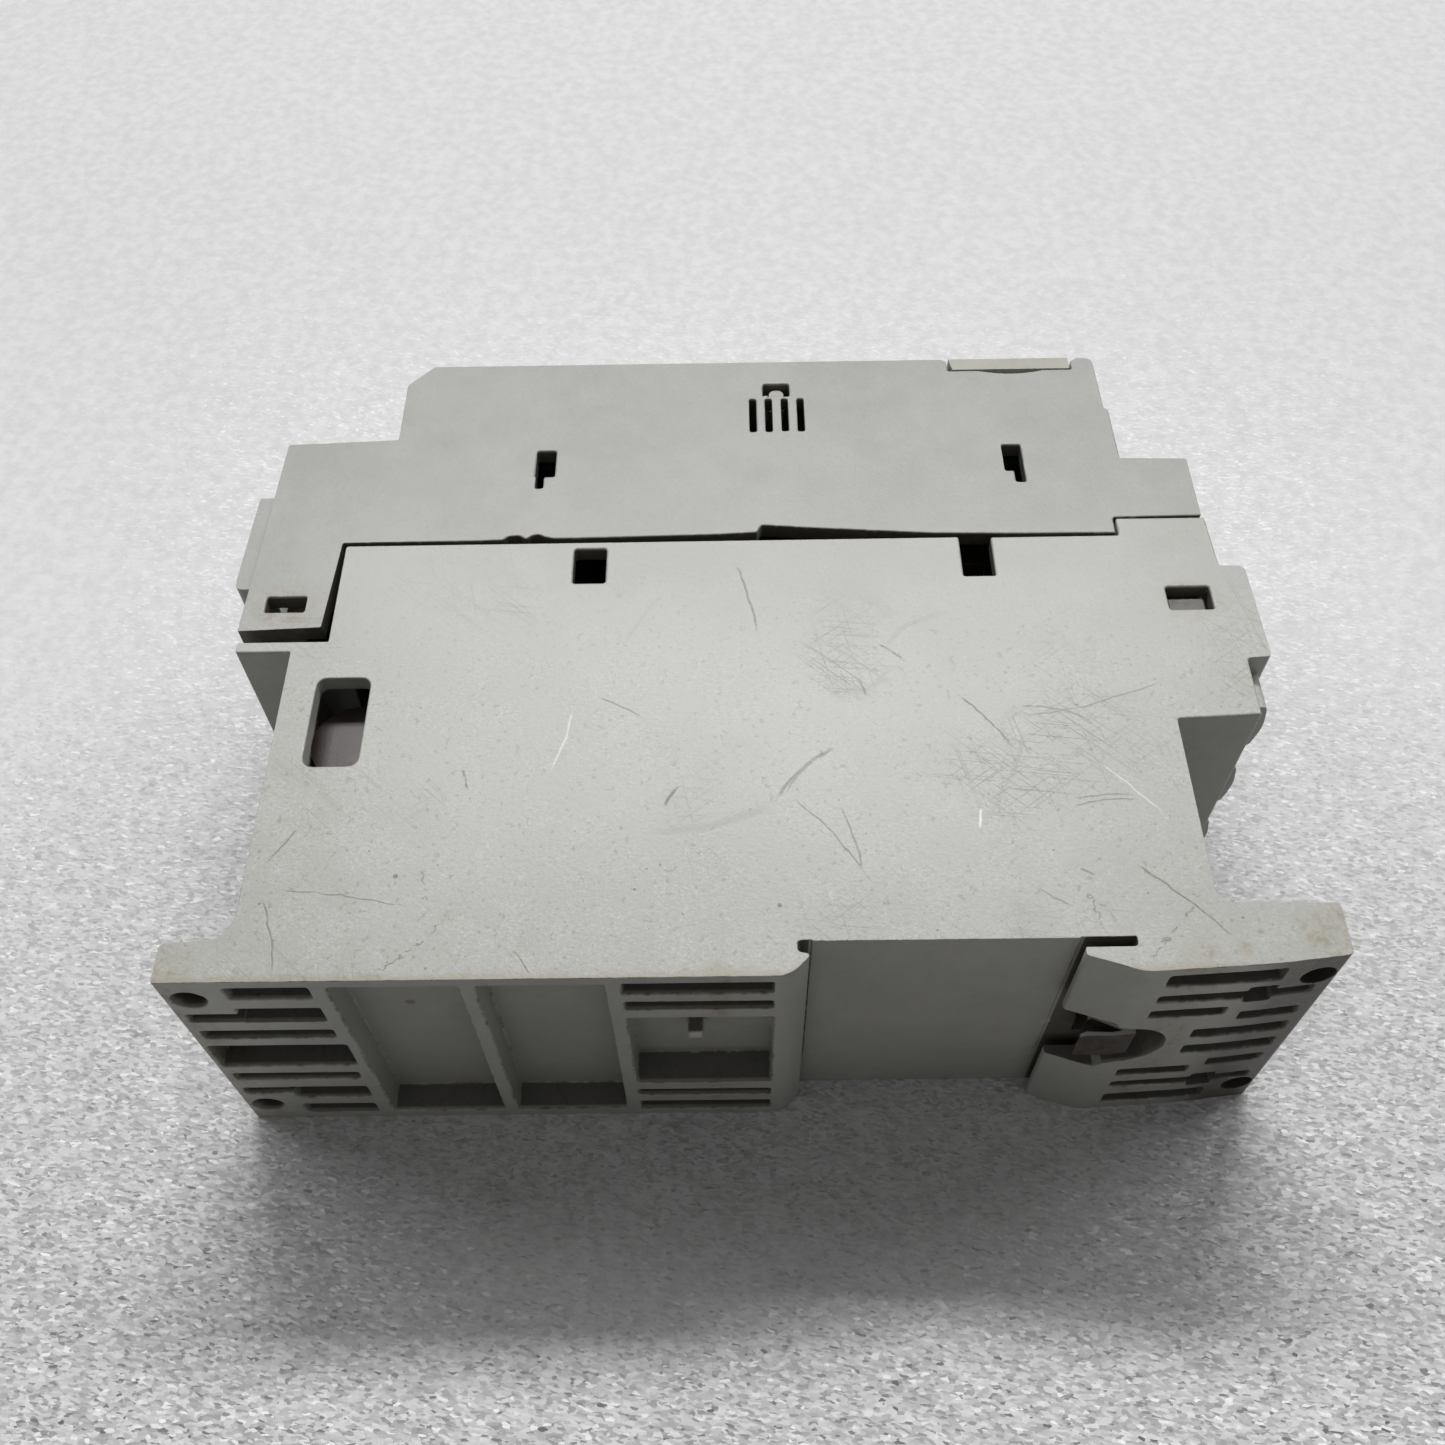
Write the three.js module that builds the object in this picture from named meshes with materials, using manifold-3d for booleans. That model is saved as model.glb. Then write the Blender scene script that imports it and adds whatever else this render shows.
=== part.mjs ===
// Three-phase solid-state relay (motor switching module) for a 35 mm rail, lying on its side.
// Millimetres. X runs along the housing from the load end to the line end, Y from the rail side
// to the front, and Z across its width. The design frame starts at the load end, the back plane
// and the resting side; the last lines move it to the middle of the footprint.

import * as THREE from 'three';
import { mergeVertices } from 'three/addons/utils/BufferGeometryUtils.js';
import Module from 'manifold-3d';

const wasm = await Module();
wasm.setup();

// ---------- driving dimensions ----------
const LENGTH = 140;              // overall along X, without the load port frame
const WIDTH = 45;                // module width on the rail
const FRONT_Y = 104.6;           // front face of the cover
const MID_Z = WIDTH / 2;
const WALL = 2;                  // end walls and panels
const SIDE_WALL = 2.6;           // the two large side walls
const GAP = 0.3;                 // clearance between separate pieces
const THROUGH = 1;               // how far a cutter runs past the face it opens

const INNER_LOW = SIDE_WALL;
const INNER_HIGH = WIDTH - SIDE_WALL;

const POLE_PITCH = 13.2;
const POLES = [-1, 0, 1].map((step) => MID_Z + step * POLE_PITCH);
const CONTROL_PITCH = 8.4;
const CONTROL_ROWS = [-1.5, -0.5, 0.5, 1.5].map((step) => MID_Z + step * CONTROL_PITCH);

const RAIL_FLOOR_Y = 4.55;       // seat of the rail's front face
const SEAM_Y = 67.4;             // top edge of the base's side walls
const SEAM_GAP = 0.45;
const PORT_FRAME_X = -1.6;       // outer face of the load port frame

// ---------- materials ----------
const finish = (color, roughness, metalness = 0) =>
  new THREE.MeshStandardMaterial({ color, roughness, metalness });

const MATERIALS = {
  housing: finish('#b4b5ae', 0.55),
  flap: finish('#b3b09b', 0.5),
  terminalPlastic: finish('#4a4b48', 0.6),
  steel: finish('#a6a5a0', 0.35, 0.9),
  plated: finish('#c9c6bb', 0.3, 0.9),
  copper: finish('#b9aa92', 0.3, 0.9),
  aluminium: finish('#aeb0b2', 0.4, 0.9),
  board: finish('#2f5a3c', 0.5),
  module: finish('#2b2b2d', 0.5),
  varistor: finish('#2d2624', 0.45),
  ferrite: finish('#39383a', 0.6),
  winding: finish('#4a4030', 0.45),
  sleeve: finish('#26303d', 0.35),
  dial: finish('#d9d7cc', 0.5),
  button: finish('#2d6aa8', 0.45),
  lens: finish('#cfe3c8', 0.15),
  label: finish('#d3d3cd', 0.5),
};

// ---------- solids ----------
function toSolid(geometry) {
  const bare = geometry.clone();
  bare.deleteAttribute('normal');
  bare.deleteAttribute('uv');
  const merged = mergeVertices(bare, 1e-4);
  return new wasm.Manifold(new wasm.Mesh({
    numProp: 3,
    vertProperties: new Float32Array(merged.attributes.position.array),
    triVerts: new Uint32Array(merged.index.array),
  }));
}

function toGeometry(solid) {
  const mesh = solid.getMesh();
  const position = new Float32Array(mesh.numVert * 3);
  for (let i = 0; i < mesh.numVert; i += 1) {
    position.set(mesh.vertProperties.subarray(i * mesh.numProp, i * mesh.numProp + 3), i * 3);
  }
  const geometry = new THREE.BufferGeometry();
  geometry.setAttribute('position', new THREE.BufferAttribute(position, 3));
  geometry.setIndex(new THREE.BufferAttribute(new Uint32Array(mesh.triVerts), 1));
  geometry.computeVertexNormals();
  return geometry;
}

const join = (first, ...rest) => rest.flat().reduce((sum, piece) => sum.add(piece), first);
const cut = (first, ...rest) => rest.flat().reduce((left, piece) => left.subtract(piece), first);

// A box between two corners: each pair is its low and high limit.
function box([x0, x1], [y0, y1], [z0, z1]) {
  const geometry = new THREE.BoxGeometry(x1 - x0, y1 - y0, z1 - z0);
  geometry.translate((x0 + x1) / 2, (y0 + y1) / 2, (z0 + z1) / 2);
  return toSolid(geometry);
}

// A closed outline of [x, y] corners; a third number rounds that corner to that radius.
function outlineShape(corners) {
  const shape = new THREE.Shape();
  const count = corners.length;
  corners.forEach(([x, y, radius = 0], index) => {
    const here = new THREE.Vector2(x, y);
    const before = new THREE.Vector2(...corners[(index + count - 1) % count].slice(0, 2)).sub(here);
    const after = new THREE.Vector2(...corners[(index + 1) % count].slice(0, 2)).sub(here);
    const reach = Math.min(radius, 0.45 * before.length(), 0.45 * after.length());
    const arrive = here.clone().add(before.setLength(reach));
    const leave = here.clone().add(after.setLength(reach));
    if (index === 0) shape.moveTo(arrive.x, arrive.y);
    else shape.lineTo(arrive.x, arrive.y);
    if (reach > 0) shape.quadraticCurveTo(x, y, leave.x, leave.y);
  });
  shape.closePath();
  return shape;
}

// A side outline in X and Y, extruded across the width.
function sidePlate(corners, [z0, z1], curveSegments = 4) {
  const options = { depth: z1 - z0, bevelEnabled: false, curveSegments };
  const geometry = new THREE.ExtrudeGeometry(outlineShape(corners), options);
  geometry.translate(0, 0, z0);
  return toSolid(geometry);
}

// A plan outline in X and Z, extruded along Y.
function planPlate(corners, [y0, y1], curveSegments = 4) {
  const flipped = corners.map(([x, z, radius]) => [x, -z, radius]);
  const options = { depth: y1 - y0, bevelEnabled: false, curveSegments };
  const geometry = new THREE.ExtrudeGeometry(outlineShape(flipped), options);
  geometry.rotateX(-Math.PI / 2);
  geometry.translate(0, y0, 0);
  return toSolid(geometry);
}

// An end outline in Z and Y, extruded along X.
function endPlate(corners, [x0, x1], curveSegments = 4) {
  const flipped = corners.map(([z, y, radius]) => [-z, y, radius]);
  const options = { depth: x1 - x0, bevelEnabled: false, curveSegments };
  const geometry = new THREE.ExtrudeGeometry(outlineShape(flipped), options);
  geometry.rotateY(Math.PI / 2);
  geometry.translate(x0, 0, 0);
  return toSolid(geometry);
}

// A round bar along Y.
function barY([x, z], radius, [y0, y1], segments = 16) {
  const geometry = new THREE.CylinderGeometry(radius, radius, y1 - y0, segments);
  geometry.translate(x, (y0 + y1) / 2, z);
  return toSolid(geometry);
}

// A round bar along Z.
function barZ([x, y], radius, [z0, z1], segments = 16) {
  const geometry = new THREE.CylinderGeometry(radius, radius, z1 - z0, segments);
  geometry.rotateX(Math.PI / 2);
  geometry.translate(x, y, (z0 + z1) / 2);
  return toSolid(geometry);
}

const around = (centre, half) => [centre - half, centre + half];
const mirrorZ = ([z0, z1]) => [WIDTH - z1, WIDTH - z0];
const bothSides = (range) => [range, mirrorZ(range)];

const part = new THREE.Group();
const design = new THREE.Group();
part.add(design);

function addPiece(name, solid, material) {
  const mesh = new THREE.Mesh(toGeometry(solid), material);
  mesh.name = name;
  design.add(mesh);
}

// ---------- base housing ----------
const BASE_LEFT = 8.4;
const BASE_RIGHT = 125.5;
const SHELF_WALL_X = 13.3;       // wall behind the load terminals
const SHELF_Y = [48.3, 50];      // floor of the load terminals
const LINE_FLOOR_Y = 36;         // underside of the line terminals
const LINE_TOP_Y = 70.6;
const LINE_INNER_X = 134.4;
const STEP_X = 123.25;           // where the seam steps up to the line end
const HOLE_RADIUS = 2.15;
const HOLE_SPACING_Z = 35;
const LOAD_HOLE_X = 3;
const LINE_HOLE_X = 137.2;
const HOOK_X = 75;               // fixed rail hook
const LIP_X = 108.9;             // sprung side's rail lip
const SEAT_PAD_X = [77, 108.6];
const SEAT_PAD_HEIGHT = 0.15;

const BASE_OUTLINE = [
  [0, 0], [0, 5.1, 0.7], [6.9, 5.6, 1.2], [BASE_LEFT, 8, 1.2],
  [BASE_LEFT, SHELF_Y[0]], [0.9, SHELF_Y[0]], [0.9, SHELF_Y[1], 0.4],
  [SHELF_WALL_X, SHELF_Y[1]], [SHELF_WALL_X, SEAM_Y - 0.2, 0.5], [STEP_X, SEAM_Y],
  [STEP_X, LINE_TOP_Y], [136, LINE_TOP_Y], [136.3, 61.5],
  [139.7, 61.3, 1], [LENGTH, 46.4], [139.9, 45.4, 0.4], [136.8, 45.2],
  [136.7, LINE_FLOOR_Y], [BASE_RIGHT + 0.1, LINE_FLOOR_Y - 0.5],
  [BASE_RIGHT, 9, 2], [139.5, 8.7, 0.3], [139.9, 8.3, 0.3],
  [139.9, 1.9, 0.7], [130.8, 0.8, 4], [115.8, 0, 2],
  [114.2, 0.4, 0.6], [LIP_X, 2.2, 0.3], [LIP_X, 3.3], [115.1, 3.3, 0.6], [115.1, 4.6, 0.6],
  [114.4, RAIL_FLOOR_Y], [HOOK_X + 0.4, RAIL_FLOOR_Y], [HOOK_X + 0.4, 3.1],
  [76.5, 2.9, 0.3], [76.7, 2.5, 0.3], [HOOK_X, 0.7, 0.6], [73.4, 0, 0.4],
];

const FLOOR_DEEP = 11;           // inside floor over the coring slots
const POCKET_X = [[20, 35.4], [37.4, 52.6]];
const POCKET_DEPTH = 4;
const POCKET_Z = [2, WIDTH - 2];
const CENTRE_X = [54.6, 72.6];
const CENTRE_DEPTH = 4.5;
const PEG_X = [61.7, 63.8];      // short peg on the floor of the centre pocket
const PEG_Y = [2.25, CENTRE_DEPTH + 0.5];
const PEG_HALF_HEIGHT = 1.15;
const SEAT_ROOM_X = [78, 104];   // the inside hollow over the rail seat

function baseCavity() {
  const inner = [INNER_LOW, INNER_HIGH];
  return join(
    box([BASE_LEFT + WALL, SHELF_WALL_X + WALL + 0.1], [FLOOR_DEEP, SHELF_Y[0]], inner),
    box([SHELF_WALL_X + WALL, BASE_RIGHT - WALL], [FLOOR_DEEP, LINE_TOP_Y + THROUGH], inner),
    box([BASE_RIGHT - WALL - 0.1, LINE_INNER_X], [LINE_FLOOR_Y + WALL, LINE_TOP_Y + THROUGH], inner),
    box([POCKET_X[0][0] + 0.5, POCKET_X[1][1]], [POCKET_DEPTH + WALL, FLOOR_DEEP + 0.1], inner),
    box(SEAT_ROOM_X, [RAIL_FLOOR_Y + WALL, FLOOR_DEEP + 0.1], inner),
  );
}

// A coring slot in the back, given by its X range, its distance from the middle and its height.
const backSlot = (xRange, offset, height, depth) =>
  box(xRange, [-THROUGH, depth], around(MID_Z + offset, height / 2));

function loadBlockSlots(depth = 4) {
  const slots = [backSlot([0.8, 18.5], 0, 6.8, depth)];
  for (const side of [-1, 1]) {
    slots.push(backSlot([7.8, 17.8], side * 19.05, 3.1, depth));
    slots.push(backSlot([1.2, 7.8], side * 12.1, 2.2, depth));
    slots.push(backSlot([7.7, 17.9], side * 12.9, 4.1, depth));
    slots.push(backSlot([1.3, 17.9], side * 7, 2.4, depth));
  }
  return slots;
}

function centreBlockSlots(depth = 7) {
  const slots = [backSlot(CENTRE_X, 0, 21.7, CENTRE_DEPTH)];
  for (const side of [-1, 1]) {
    slots.push(backSlot(CENTRE_X, side * 19.2, 3.1, depth));
    slots.push(backSlot(CENTRE_X, side * 14.3, 2.2, depth));
  }
  return slots;
}

function lineBlockSlots(depth = 6) {
  const slots = [];
  for (const side of [-1, 1]) {
    slots.push(backSlot([118.8, 132.7], side * 19.1, 3, depth));
    slots.push(backSlot([118.8, 137.8], side * 13.9, 1.9, depth));
    slots.push(backSlot([129.6, 132.9], side * 13.9, 4.3, depth));
    slots.push(backSlot([118.8, 128.3], side * 9.5, 2.2, depth));
    slots.push(backSlot([130.3, 137.8], side * 7.6, 2.2, depth));
    slots.push(backSlot([125.8, 137.9], side * 2.6, 2.5, depth));
  }
  return slots;
}

const RECESS_X = 117.6;          // centre of the round end of the spring recess
const RECESS_RADIUS = 5.3;
const RECESS_DEPTH = 9.2;
const MOUTH_HALF = 7.1;          // half height of the gap in the sprung lip

function springRecess() {
  const mouth = [
    [LIP_X - 2, MID_Z - MOUTH_HALF], [115, MID_Z - MOUTH_HALF], [116, MID_Z - 5.9],
    [RECESS_X, MID_Z - RECESS_RADIUS], [RECESS_X, MID_Z + RECESS_RADIUS],
    [116, MID_Z + 5.9], [115, MID_Z + MOUTH_HALF], [LIP_X - 2, MID_Z + MOUTH_HALF],
  ];
  return [
    planPlate(mouth, [-THROUGH, RAIL_FLOOR_Y]),
    box([112.6, RECESS_X], [-THROUGH, RECESS_DEPTH], around(MID_Z, RECESS_RADIUS)),
    barY([RECESS_X, MID_Z], RECESS_RADIUS, [-THROUGH, RECESS_DEPTH], 32),
  ];
}

function mountingHoles() {
  const holes = [];
  for (const x of [LOAD_HOLE_X, LINE_HOLE_X]) {
    for (const side of [-1, 1]) {
      const z = MID_Z + side * HOLE_SPACING_Z / 2;
      holes.push(barY([x, z], HOLE_RADIUS, [-THROUGH, 10], 20));
    }
  }
  return holes;
}

// Low pad on the channel floor that the rail's front face rests on.
function railSeat() {
  return planPlate([
    [SEAT_PAD_X[0], 9.3], [SEAT_PAD_X[1], 12], [SEAT_PAD_X[1], WIDTH], [SEAT_PAD_X[0], WIDTH],
  ], [RAIL_FLOOR_Y - SEAT_PAD_HEIGHT, RAIL_FLOOR_Y + 0.1]);
}

const OBLONG_X = [12.8, 20];
const OBLONG_Y = [29.8, 43.8];
const OBLONG_ROUND = 1.5;
const LEFT_SQUARE_X = [45.9, 50.5];   // two square windows below the seam
const LEFT_SQUARE_Y = [59.8, 66.1];
const RIGHT_SQUARE_X = [100.5, 105];
const RIGHT_SQUARE_Y = [60.1, SEAM_Y + THROUGH];
const LINE_LATCH_X = [128, 134.1];
const LINE_LATCH_Y = [53.7, 57.7];

function baseWindows() {
  const windows = [];
  const oblong = [
    [OBLONG_X[0], OBLONG_Y[0], OBLONG_ROUND], [OBLONG_X[1], OBLONG_Y[0], OBLONG_ROUND],
    [OBLONG_X[1], OBLONG_Y[1], OBLONG_ROUND], [OBLONG_X[0], OBLONG_Y[1], OBLONG_ROUND],
  ];
  windows.push(sidePlate(oblong, [INNER_HIGH - THROUGH, WIDTH + THROUGH]));
  for (const wall of bothSides([INNER_HIGH - 0.1, WIDTH + THROUGH])) {
    windows.push(box(LEFT_SQUARE_X, LEFT_SQUARE_Y, wall));
    windows.push(box(RIGHT_SQUARE_X, RIGHT_SQUARE_Y, wall));
    windows.push(box(LINE_LATCH_X, LINE_LATCH_Y, wall));
  }
  return windows;
}

const LINE_PORT_Y = [46.9, 59.8];
const PORT_HALF_WIDTH = 4.8;
const END_VENT_OFFSETS = [-14, -7, 0, 7, 14];
const LOAD_VENT_Y = [16, 44];
const LINE_VENT_Y = [16, 32];

function endOpenings() {
  const openings = POLES.map((z) =>
    box([LINE_INNER_X - THROUGH, LENGTH + THROUGH], LINE_PORT_Y, around(z, PORT_HALF_WIDTH)));
  for (const offset of END_VENT_OFFSETS) {
    const slot = around(MID_Z + offset, 1.5);
    openings.push(box([BASE_LEFT - THROUGH, BASE_LEFT + WALL + 0.1], LOAD_VENT_Y, slot));
    openings.push(box([BASE_RIGHT - WALL - 0.1, BASE_RIGHT + THROUGH], LINE_VENT_Y, slot));
  }
  return openings;
}

// Rounded lips under the line wire ports.
const LIP_PITCH = 14.6;
function portLips() {
  return [-1, 0, 1].map((step) => {
    const z = MID_Z + step * LIP_PITCH;
    return planPlate([
      [136, z - 4.6], [139.1, z - 4.6, 0.8], [139.9, z, 3], [139.1, z + 4.6, 0.8], [136, z + 4.6],
    ], [39.4, 45.4]);
  });
}

// Springy catches that hold the cover's load leg, inside the leg's side plates.
function baseCatches() {
  return bothSides([40.3, 41.9]).map((z) => box([4, 8.8], [SHELF_Y[1] - 0.1, 57], z));
}

function baseHousing() {
  const shell = cut(sidePlate(BASE_OUTLINE, [0, WIDTH]), baseCavity());
  const pockets = POCKET_X.map((x) => box(x, [-THROUGH, POCKET_DEPTH], POCKET_Z));
  const opened = cut(
    join(shell, portLips()),
    pockets,
    loadBlockSlots(),
    centreBlockSlots(),
    lineBlockSlots(),
    springRecess(),
    mountingHoles(),
    baseWindows(),
    endOpenings(),
  );
  return join(opened, box(PEG_X, PEG_Y, around(MID_Z, PEG_HALF_HEIGHT)), railSeat(), baseCatches());
}
addPiece('base_housing', baseHousing(), MATERIALS.housing);

// ---------- front cover ----------
const SHOULDER_LOAD_Y = 88;
const SHOULDER_LINE_Y = 82.3;
const COVER_SEAM_Y = SEAM_Y + SEAM_GAP;
const CONTROL_WALL_X = 18.2;
const PANEL_INNER_Y = 102.4;
const COVER_LINE_X = 135.6;

const COVER_OUTLINE = [
  [0.5, 52, 0.3], [1.7, 87.8, 0.4], [CONTROL_WALL_X, SHOULDER_LOAD_Y + 0.5],
  [CONTROL_WALL_X, 100.5, 0.4], [21.9, FRONT_Y, 0.4], [125, FRONT_Y, 1.4],
  [125.2, 93.3], [125.8, 93], [125.9, SHOULDER_LINE_Y + 0.3],
  [COVER_LINE_X, SHOULDER_LINE_Y, 0.4], [COVER_LINE_X, LINE_TOP_Y + GAP],
  [STEP_X - 0.35, LINE_TOP_Y + GAP - 0.1], [STEP_X - 0.35, COVER_SEAM_Y],
  [12.7, COVER_SEAM_Y], [11.9, 52.5, 0.3],
];

const COVER_CAVITY = [
  [2.5, 45], [3.7, 86], [CONTROL_WALL_X + WALL, 86], [CONTROL_WALL_X + WALL, 99.6],
  [22.8, PANEL_INNER_Y], [123.1, PANEL_INNER_Y], [123.1, 80.3], [133.5, 80.3], [133.5, 45],
];

const LOAD_PORT_Y = [61.6, 75.6];
const LOAD_SCREW_X = 8.2;
const LINE_SCREW_X = 129.7;
const CONTROL_SCREW_X = 24.6;
const SCREW_WELL_RADIUS = 3.7;
const CONTROL_WELL_RADIUS = 2.4;

// Raised frame round the load wire ports.
function loadPortFrame() {
  return sidePlate([
    [PORT_FRAME_X + 0.2, 60, 1], [1.2, 60], [1.8, 77.5], [PORT_FRAME_X + 0.6, 77.5, 0.3],
    [PORT_FRAME_X, 62],
  ], [0.7, WIDTH - 0.7]);
}

function coverPortsAndWells() {
  const wells = [];
  for (const z of POLES) {
    wells.push(box([PORT_FRAME_X - THROUGH, 4], LOAD_PORT_Y, around(z, PORT_HALF_WIDTH)));
    wells.push(barY([LOAD_SCREW_X, z], SCREW_WELL_RADIUS, [85, 90]));
    wells.push(barY([LINE_SCREW_X, z], SCREW_WELL_RADIUS, [79, 84]));
  }
  for (const z of CONTROL_ROWS) {
    wells.push(box([17, CONTROL_WALL_X + WALL + 0.1], [90, 95], around(z, 2.2)));
    wells.push(barY([CONTROL_SCREW_X, z], CONTROL_WELL_RADIUS, [102, 106]));
  }
  return wells;
}

const VENT_X = [71.7, 74.13, 76.57, 79];
const VENT_Y = [89.2, 96.3];
const HINGE = [75.4, 98.1];      // flap hinge axis in X and Y
const HINGE_WINDOW_X = [73.3, 77.4];
const HINGE_WINDOW_Y = [96.8, 99.6];
const CATCH_WINDOW_X = [3.6, 9.2];    // shows the base's springy catch
const CATCH_WINDOW_Y = [55.3, 58];
const HOOK_WINDOW_WIDE_Y = [80.4, 85.7];
const HOOK_WINDOW_NARROW_Y = [78.1, 80.5];
const HOOK_WINDOWS = [
  { wide: [39.3, 42.2], narrow: [39.4, 40.6] },
  { wide: [108.6, 111.5], narrow: [110, 111.5] },
];

function coverWindows() {
  const windows = [];
  for (const wall of bothSides([INNER_HIGH - 0.1, WIDTH + THROUGH])) {
    windows.push(box(CATCH_WINDOW_X, CATCH_WINDOW_Y, wall));
    for (const { wide, narrow } of HOOK_WINDOWS) {
      windows.push(box(wide, HOOK_WINDOW_WIDE_Y, wall));
      windows.push(box(narrow, HOOK_WINDOW_NARROW_Y, wall));
    }
    for (const x of VENT_X) windows.push(box(around(x, 0.55), VENT_Y, wall));
    windows.push(box(HINGE_WINDOW_X, HINGE_WINDOW_Y, wall));
  }
  return windows;
}

// Settings recess behind the flap.
const SEAT_Y = 101.9;            // the flap rests at this height
const SEAT_X = [82.7, 121.5];
const LUG_X = [102.2, 121.5];    // here the flap reaches through both side walls
const RECESS_FLOOR_Y = 97;
const RECESS_X_RANGE = [84.5, 120];
const RECESS_Z = [4.6, WIDTH - 4.6];

function settingsTray() {
  return box([SEAT_X[0], 123.2], [RECESS_FLOOR_Y - WALL, SEAT_Y], [INNER_LOW - 0.1, INNER_HIGH + 0.1]);
}

const NAIL_NOTCH_RADIUS = 18.2;
const ARM_Z = [38.8, 41.9];      // one of the flap's two goose-neck arms

function flapOpenings() {
  const openings = [
    box(SEAT_X, [SEAT_Y, FRONT_Y + THROUGH], [INNER_LOW, INNER_HIGH]),
    box(LUG_X, [SEAT_Y, FRONT_Y + THROUGH], [-THROUGH, WIDTH + THROUGH]),
    box(RECESS_X_RANGE, [RECESS_FLOOR_Y, SEAT_Y + THROUGH], RECESS_Z),
  ];
  for (const z of bothSides([WIDTH - 1.6, WIDTH + THROUGH])) {
    openings.push(barZ([112, SEAT_Y - 0.7 + NAIL_NOTCH_RADIUS], NAIL_NOTCH_RADIUS, z, 96));
  }
  for (const z of bothSides([ARM_Z[0] - 0.4, INNER_HIGH])) {
    openings.push(box([67.8, SEAT_X[0] + 0.1], [PANEL_INNER_Y - 0.1, FRONT_Y + THROUGH], z));
  }
  return openings;
}

// ---------- settings: dials and the reset button ----------
const DIAL_X = [90.4, 102.2, 114];
const DIAL_Z = 14.5;
const DIAL_RADIUS = 4.3;
const SHAFT_RADIUS = 1.6;
const BUTTON = [90.4, 31];
const STEM_RADIUS = 1.7;
const LIGHT_ROWS = [MID_Z - 4, MID_Z + 4];
const LIGHT_X = 63;
const LABEL_X = [32, 57];
const LABEL_Z = [7, WIDTH - 7];

function panelHoles() {
  const floor = [RECESS_FLOOR_Y - WALL - THROUGH, RECESS_FLOOR_Y + THROUGH];
  const holes = DIAL_X.map((x) => barY([x, DIAL_Z], SHAFT_RADIUS + GAP, floor));
  holes.push(barY(BUTTON, STEM_RADIUS + GAP, floor));
  for (const z of LIGHT_ROWS) holes.push(barY([LIGHT_X, z], 1.8, [102, 106]));
  holes.push(box(LABEL_X, [FRONT_Y - 0.9, FRONT_Y + THROUGH], LABEL_Z));
  return holes;
}

// Tongues that snap into the base's latch windows at the line end.
const TONGUE_X = [128.5, 133.6];
const TONGUE_Y = [54.3, 78];
const TONGUE_BARB_Y = [54.3, 56.9];
const TONGUE_ROOT_Y = [72, 80.4];

function coverTongues() {
  return bothSides([40.6, 42.1]).flatMap((z) => {
    const outward = z[0] > MID_Z ? [z[1] - 0.1, z[1] + 1.3] : [z[0] - 1.3, z[0] + 0.1];
    const root = z[0] > MID_Z ? [z[0], INNER_HIGH + 0.1] : [INNER_LOW - 0.1, z[1]];
    return [
      box(TONGUE_X, TONGUE_Y, z),
      box(TONGUE_X, TONGUE_BARB_Y, outward),
      box(TONGUE_X, TONGUE_ROOT_Y, root),
    ];
  });
}

// The cover's edge is worn and prised up along the seam of the upper side.
function wornSeam() {
  return sidePlate([
    [30, SEAM_Y - 1], [124, SEAM_Y - 1], [123, 67.8], [110, 67.9], [97, 68.2], [88, 68.9], [80, 69.5],
    [73.6, 70.1], [72.5, 70.2], [71.8, 68.8], [66, 68.5], [58, 68.35], [50, 68.2], [42.8, 68.15],
    [41.5, 68.5], [40.6, 69], [39.6, 68.75], [38.8, 68.1], [37.9, 68.8], [36.3, 68.7], [35.5, 68],
    [30, 67.8],
  ], [INNER_HIGH - 0.1, WIDTH + THROUGH]);
}

function frontCover() {
  const shell = cut(sidePlate(COVER_OUTLINE, [0, WIDTH]), sidePlate(COVER_CAVITY, [INNER_LOW, INNER_HIGH]));
  return join(
    cut(join(shell, loadPortFrame(), settingsTray()),
      coverPortsAndWells(), coverWindows(), flapOpenings(), panelHoles(), wornSeam()),
    coverTongues(),
  );
}
addPiece('front_cover', frontCover(), MATERIALS.housing);

// ---------- hinged front flap ----------
const FLAP_NEAR_X = 83;
const FLAP_Y = [SEAT_Y + GAP, FRONT_Y];
const PIN_RADIUS = 1.15;
const NEAR_UNDERCUT = 1.7;       // lets the flap's near edge swing past the cover's panel
const LUG_UNDERCUT = 0.5;

function frontFlap() {
  const far = LUG_X[1] - GAP;
  const leafFrom = (near, undercut, z) => sidePlate([
    [near, FLAP_Y[1]], [near + undercut, FLAP_Y[0]], [far, FLAP_Y[0]], [far, FLAP_Y[1]],
  ], z);
  const plate = leafFrom(FLAP_NEAR_X, NEAR_UNDERCUT, [INNER_LOW + GAP, INNER_HIGH - GAP]);
  const lug = leafFrom(LUG_X[0] + GAP, LUG_UNDERCUT, [0, WIDTH]);
  const arms = bothSides(ARM_Z).map((z) => sidePlate([
    [HINGE[0] - 1.4, HINGE[1] - 1.4, 1], [HINGE[0] + 1.4, HINGE[1] - 1.4, 1],
    [HINGE[0] + 1.9, 100.4, 1.2], [FLAP_NEAR_X + 0.2, FLAP_Y[0]],
    [FLAP_NEAR_X + NEAR_UNDERCUT + 1, FLAP_Y[0]], [FLAP_NEAR_X + NEAR_UNDERCUT + 1, FLAP_Y[1]],
    [HINGE[0] + 3.6, FLAP_Y[1], 2],
    [HINGE[0] - 1.4, 100.6, 1.2],
  ], z));
  const pins = bothSides([ARM_Z[1] - 0.1, 44]).map((z) => barZ(HINGE, PIN_RADIUS, z));
  return join(plate, lug, arms, pins);
}
addPiece('front_flap', frontFlap(), MATERIALS.flap);

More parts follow.
